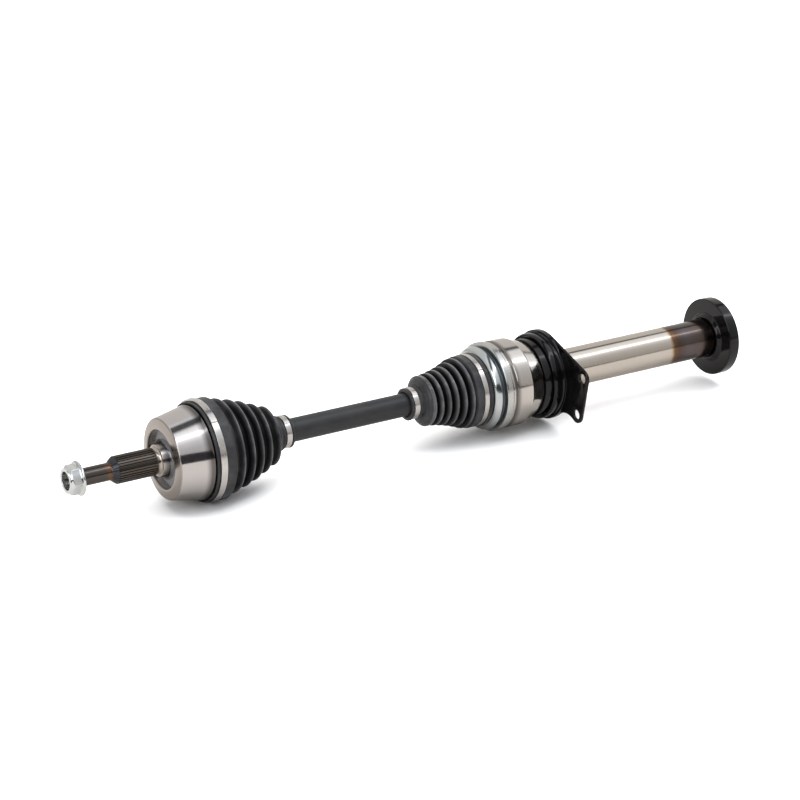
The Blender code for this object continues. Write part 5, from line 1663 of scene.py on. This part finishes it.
def dress_inner_nodes() -> None:
    """Give every solid of the frame that still shows the finish of its record slot."""
    finishes = (
        CAN_ZINC, HOUSING_STEEL, GROUND_STEEL, BLACK_PAINT, BAR_PAINT, BOOT_RUBBER, CLAMP_STEEL, SPRING_STEEL,
        SEAL_RUBBER, CAGE_POLYMER,
    )
    by_slot = {finish.slot.value: finish for finish in finishes}
    for name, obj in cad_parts.items():
        if obj.hide_render:
            continue
        slot = obj.material_slots[0]
        key = slot.material.name.split(".")[0] if slot.material else ""
        finish = by_slot.get(key, GROUND_STEEL)
        slot.material = finish.material()
        log.info("%s keeps its solid, %s", name, finish.name)


WARM: Colour = (1.0, 0.97, 0.94)
COOL: Colour = (0.97, 0.99, 1.03)


@dataclass
class Studio:
    """Floor, light and camera. Places in the sky are shares of a turn round +X from -Y through the floor."""

    floor_half_metres: float = 15.0
    floor_colour: Colour = (0.93, 0.93, 0.93)
    floor_roughness: float = 0.6
    floor_in_mirrors: Colour = (0.454, 0.438, 0.422)
    camera_metres: tuple[float, float, float] = (-1.2943, -2.0433, 0.9962)
    camera_azimuth: float = -31.83
    camera_elevation: float = 21.18
    camera_reach_metres: float = 100.0
    lens: float = 115.5
    sensor: float = 36.0
    bands: tuple[Band, ...] = (
        (0.0, 0.5, WARM), (0.016, 0.85, WARM), (0.06, 0.98, WARM), (0.14, 0.88, WARM), (0.23, 0.66, WARM),
        (0.35, 0.45, WARM), (0.43, 0.36, WARM), (0.48, 0.6, WARM), (0.52, 0.78, WARM), (0.635, 0.8, WARM),
        (0.66, 0.8, COOL), (0.69, 1.1, COOL), (0.712, 1.25, COOL), (0.745, 1.3, COOL), (0.78, 1.7, COOL),
        (0.79, 4.6, COOL), (0.798, 4.6, COOL), (0.81, 1.6, COOL), (0.84, 0.98, COOL), (0.88, 0.72, COOL),
        (0.94, 0.6, WARM), (1.0, 0.5, WARM),
    )
    level_direction: float = 0.56
    lean: float = 0.04
    joint_lean: float = 0.09
    joint_start: Pair = (0.652, 0.672)
    softbox_lean: float = 0.127
    joint_end: Pair = (0.705, 0.68)
    joint_light: Colour = (0.11, 0.11, 0.115)
    gap_start: Pair = (-0.13, -0.09)
    gap_end: Pair = (0.03, -0.03)
    gap_growth: Pair = (0.6, 0.04)
    gap_most: float = 0.42
    gap_light: Colour = (0.045, 0.045, 0.05)
    side_box: tuple[float, float, float] = (-0.82, -0.39, 0.42)
    side_box_edge: Pair = (0.95, 0.975)
    side_box_light: Colour = (3.4, 3.5, 3.6)
    backdrop: Colour = (1.0, 1.0, 1.0)
    lamp_spread: float = 80.0
    lamp_strength: float = 4.0
    lamp_tilt: Pair = (-12.0, 8.0)

    def build(self) -> None:
        """Set up the floor, the sky, the lamp and the camera."""
        self.build_floor()
        self.build_sky()
        self.build_lamp()
        self.build_camera()

    def build_floor(self) -> None:
        """Plain pale floor under the axle, a little darker where metal mirrors it."""
        half = self.floor_half_metres
        corners = [(-half, -half, 0.0), (half, -half, 0.0), (half, half, 0.0), (-half, half, 0.0)]
        mesh = bpy.data.meshes.new("floor")
        mesh.from_pydata(corners, [], [(0, 1, 2, 3)])
        floor = bpy.data.objects.new("floor", mesh)
        bpy.context.scene.collection.objects.link(floor)
        material = bpy.data.materials.new("pale_floor")
        material.use_nodes = True
        wiring, nodes = Wiring(material.node_tree), material.node_tree.nodes
        pale, dim = (*self.floor_colour, 1.0), (*self.floor_in_mirrors, 1.0)
        matt = {"Base Color": pale, "Roughness": self.floor_roughness, "Specular IOR Level": 0.0}
        seen = wiring.feed(nodes["Principled BSDF"], matt).outputs["BSDF"]
        mirrored = wiring.add("ShaderNodeBsdfDiffuse", {"Color": dim}).outputs["BSDF"]
        glossy = wiring.add("ShaderNodeLightPath").outputs["Is Glossy Ray"]
        either = wiring.add("ShaderNodeMixShader", {0: glossy, 1: seen, 2: mirrored})
        wiring.feed(nodes["Material Output"], {"Surface": either.outputs["Shader"]})
        mesh.materials.append(material)

    def build_sky(self) -> None:
        """Studio surroundings in bands along the axle: floor, back wall, overhead softbox and front wall.

        A ramp runs by the angle round +X, from the front floor under the axle to the back wall, overhead and
        down the front wall. Away from +X the bands lean back, a dark joint parts the back wall from the
        softbox and a dark gap opens between front wall and floor. A bright box stands beside the wheel end.
        """
        world = bpy.data.worlds.new("studio")
        world.use_nodes = True
        bpy.context.scene.world = world
        wiring = Wiring(world.node_tree)
        towards = wiring.add("ShaderNodeTexCoord").outputs["Generated"]
        split = wiring.add("ShaderNodeSeparateXYZ", {"Vector": towards}).outputs
        turn = wiring.maths("MULTIPLY_ADD", wiring.maths("ARCTAN2", split["Z"], split["Y"]), 1 / TURN, 0.5)
        away = wiring.maths("SUBTRACT", self.level_direction, split["X"])
        leans = (self.lean, self.joint_lean, self.softbox_lean)
        place, low, high = (wiring.maths("MULTIPLY_ADD", away, -lean, turn) for lean in leans)
        stops = [(spot, tuple(light * tint for tint in hue)) for spot, light, hue in self.bands]
        start, end = wiring.step(low, *self.joint_start), wiring.step(high, *self.joint_end)
        light = wiring.mix(wiring.maths("MULTIPLY", start, end), wiring.ramp(place, stops), self.joint_light)
        above = wiring.maths("ARCTAN2", split["Z"], wiring.maths("MULTIPLY", split["Y"], -1.0))
        widening = wiring.maths("MULTIPLY_ADD", wiring.maths("MAXIMUM", away, 0.0), *self.gap_growth)
        over = wiring.maths("SUBTRACT", above, wiring.maths("MINIMUM", widening, self.gap_most))
        start, end = wiring.step(above, *self.gap_start), wiring.step(over, *self.gap_end)
        light = wiring.mix(wiring.maths("MULTIPLY", start, end), light, self.gap_light)
        near = wiring.add("ShaderNodeVectorMath", {0: towards, 1: self.side_box}, operation="DOT_PRODUCT")
        inside = wiring.step(near.outputs["Value"], *self.side_box_edge)
        light = wiring.mix(inside, light, self.side_box_light)
        seen = wiring.add("ShaderNodeLightPath").outputs["Is Camera Ray"]
        light = wiring.mix(seen, light, self.backdrop)
        wiring.feed(world.node_tree.nodes["Background"], {"Color": light, "Strength": 1.0})

    def build_lamp(self) -> None:
        """One wide soft lamp above, which whitens the floor and leaves the reflections to the sky."""
        lamp = bpy.data.lights.new("overhead_lamp", "SUN")
        lamp.angle = math.radians(self.lamp_spread)
        lamp.energy = self.lamp_strength
        holder = bpy.data.objects.new("overhead_lamp", lamp)
        holder.rotation_euler = (*map(math.radians, self.lamp_tilt), 0.0)
        holder.visible_glossy = False
        bpy.context.scene.collection.objects.link(holder)

    def build_camera(self) -> None:
        """Camera at the photograph's angle, level, with no shift."""
        data = bpy.data.cameras.new("camera")
        data.lens = self.lens
        data.sensor_width = self.sensor
        data.clip_end = self.camera_reach_metres
        camera = bpy.data.objects.new("camera", data)
        camera.location = self.camera_metres
        tilt, turn = math.radians(90.0 - self.camera_elevation), math.radians(self.camera_azimuth)
        camera.rotation_euler = (tilt, 0.0, turn)
        bpy.context.scene.collection.objects.link(camera)
        bpy.context.scene.camera = camera
        bpy.context.scene.view_settings.view_transform = "Standard"


def main() -> None:
    """Build every sub-assembly in order, dress what is left of the frame and set the stage."""
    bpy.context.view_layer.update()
    parts = [WheelEnd, OuterBoot, HalfShaft, InnerBoot, TripodHousing, SupportBearing, IntermediateTube]
    for part in parts:
        log.info("building %s", part.__name__)
        part().build()
    dress_inner_nodes()
    Studio().build()


if __name__ == "__main__":
    main()
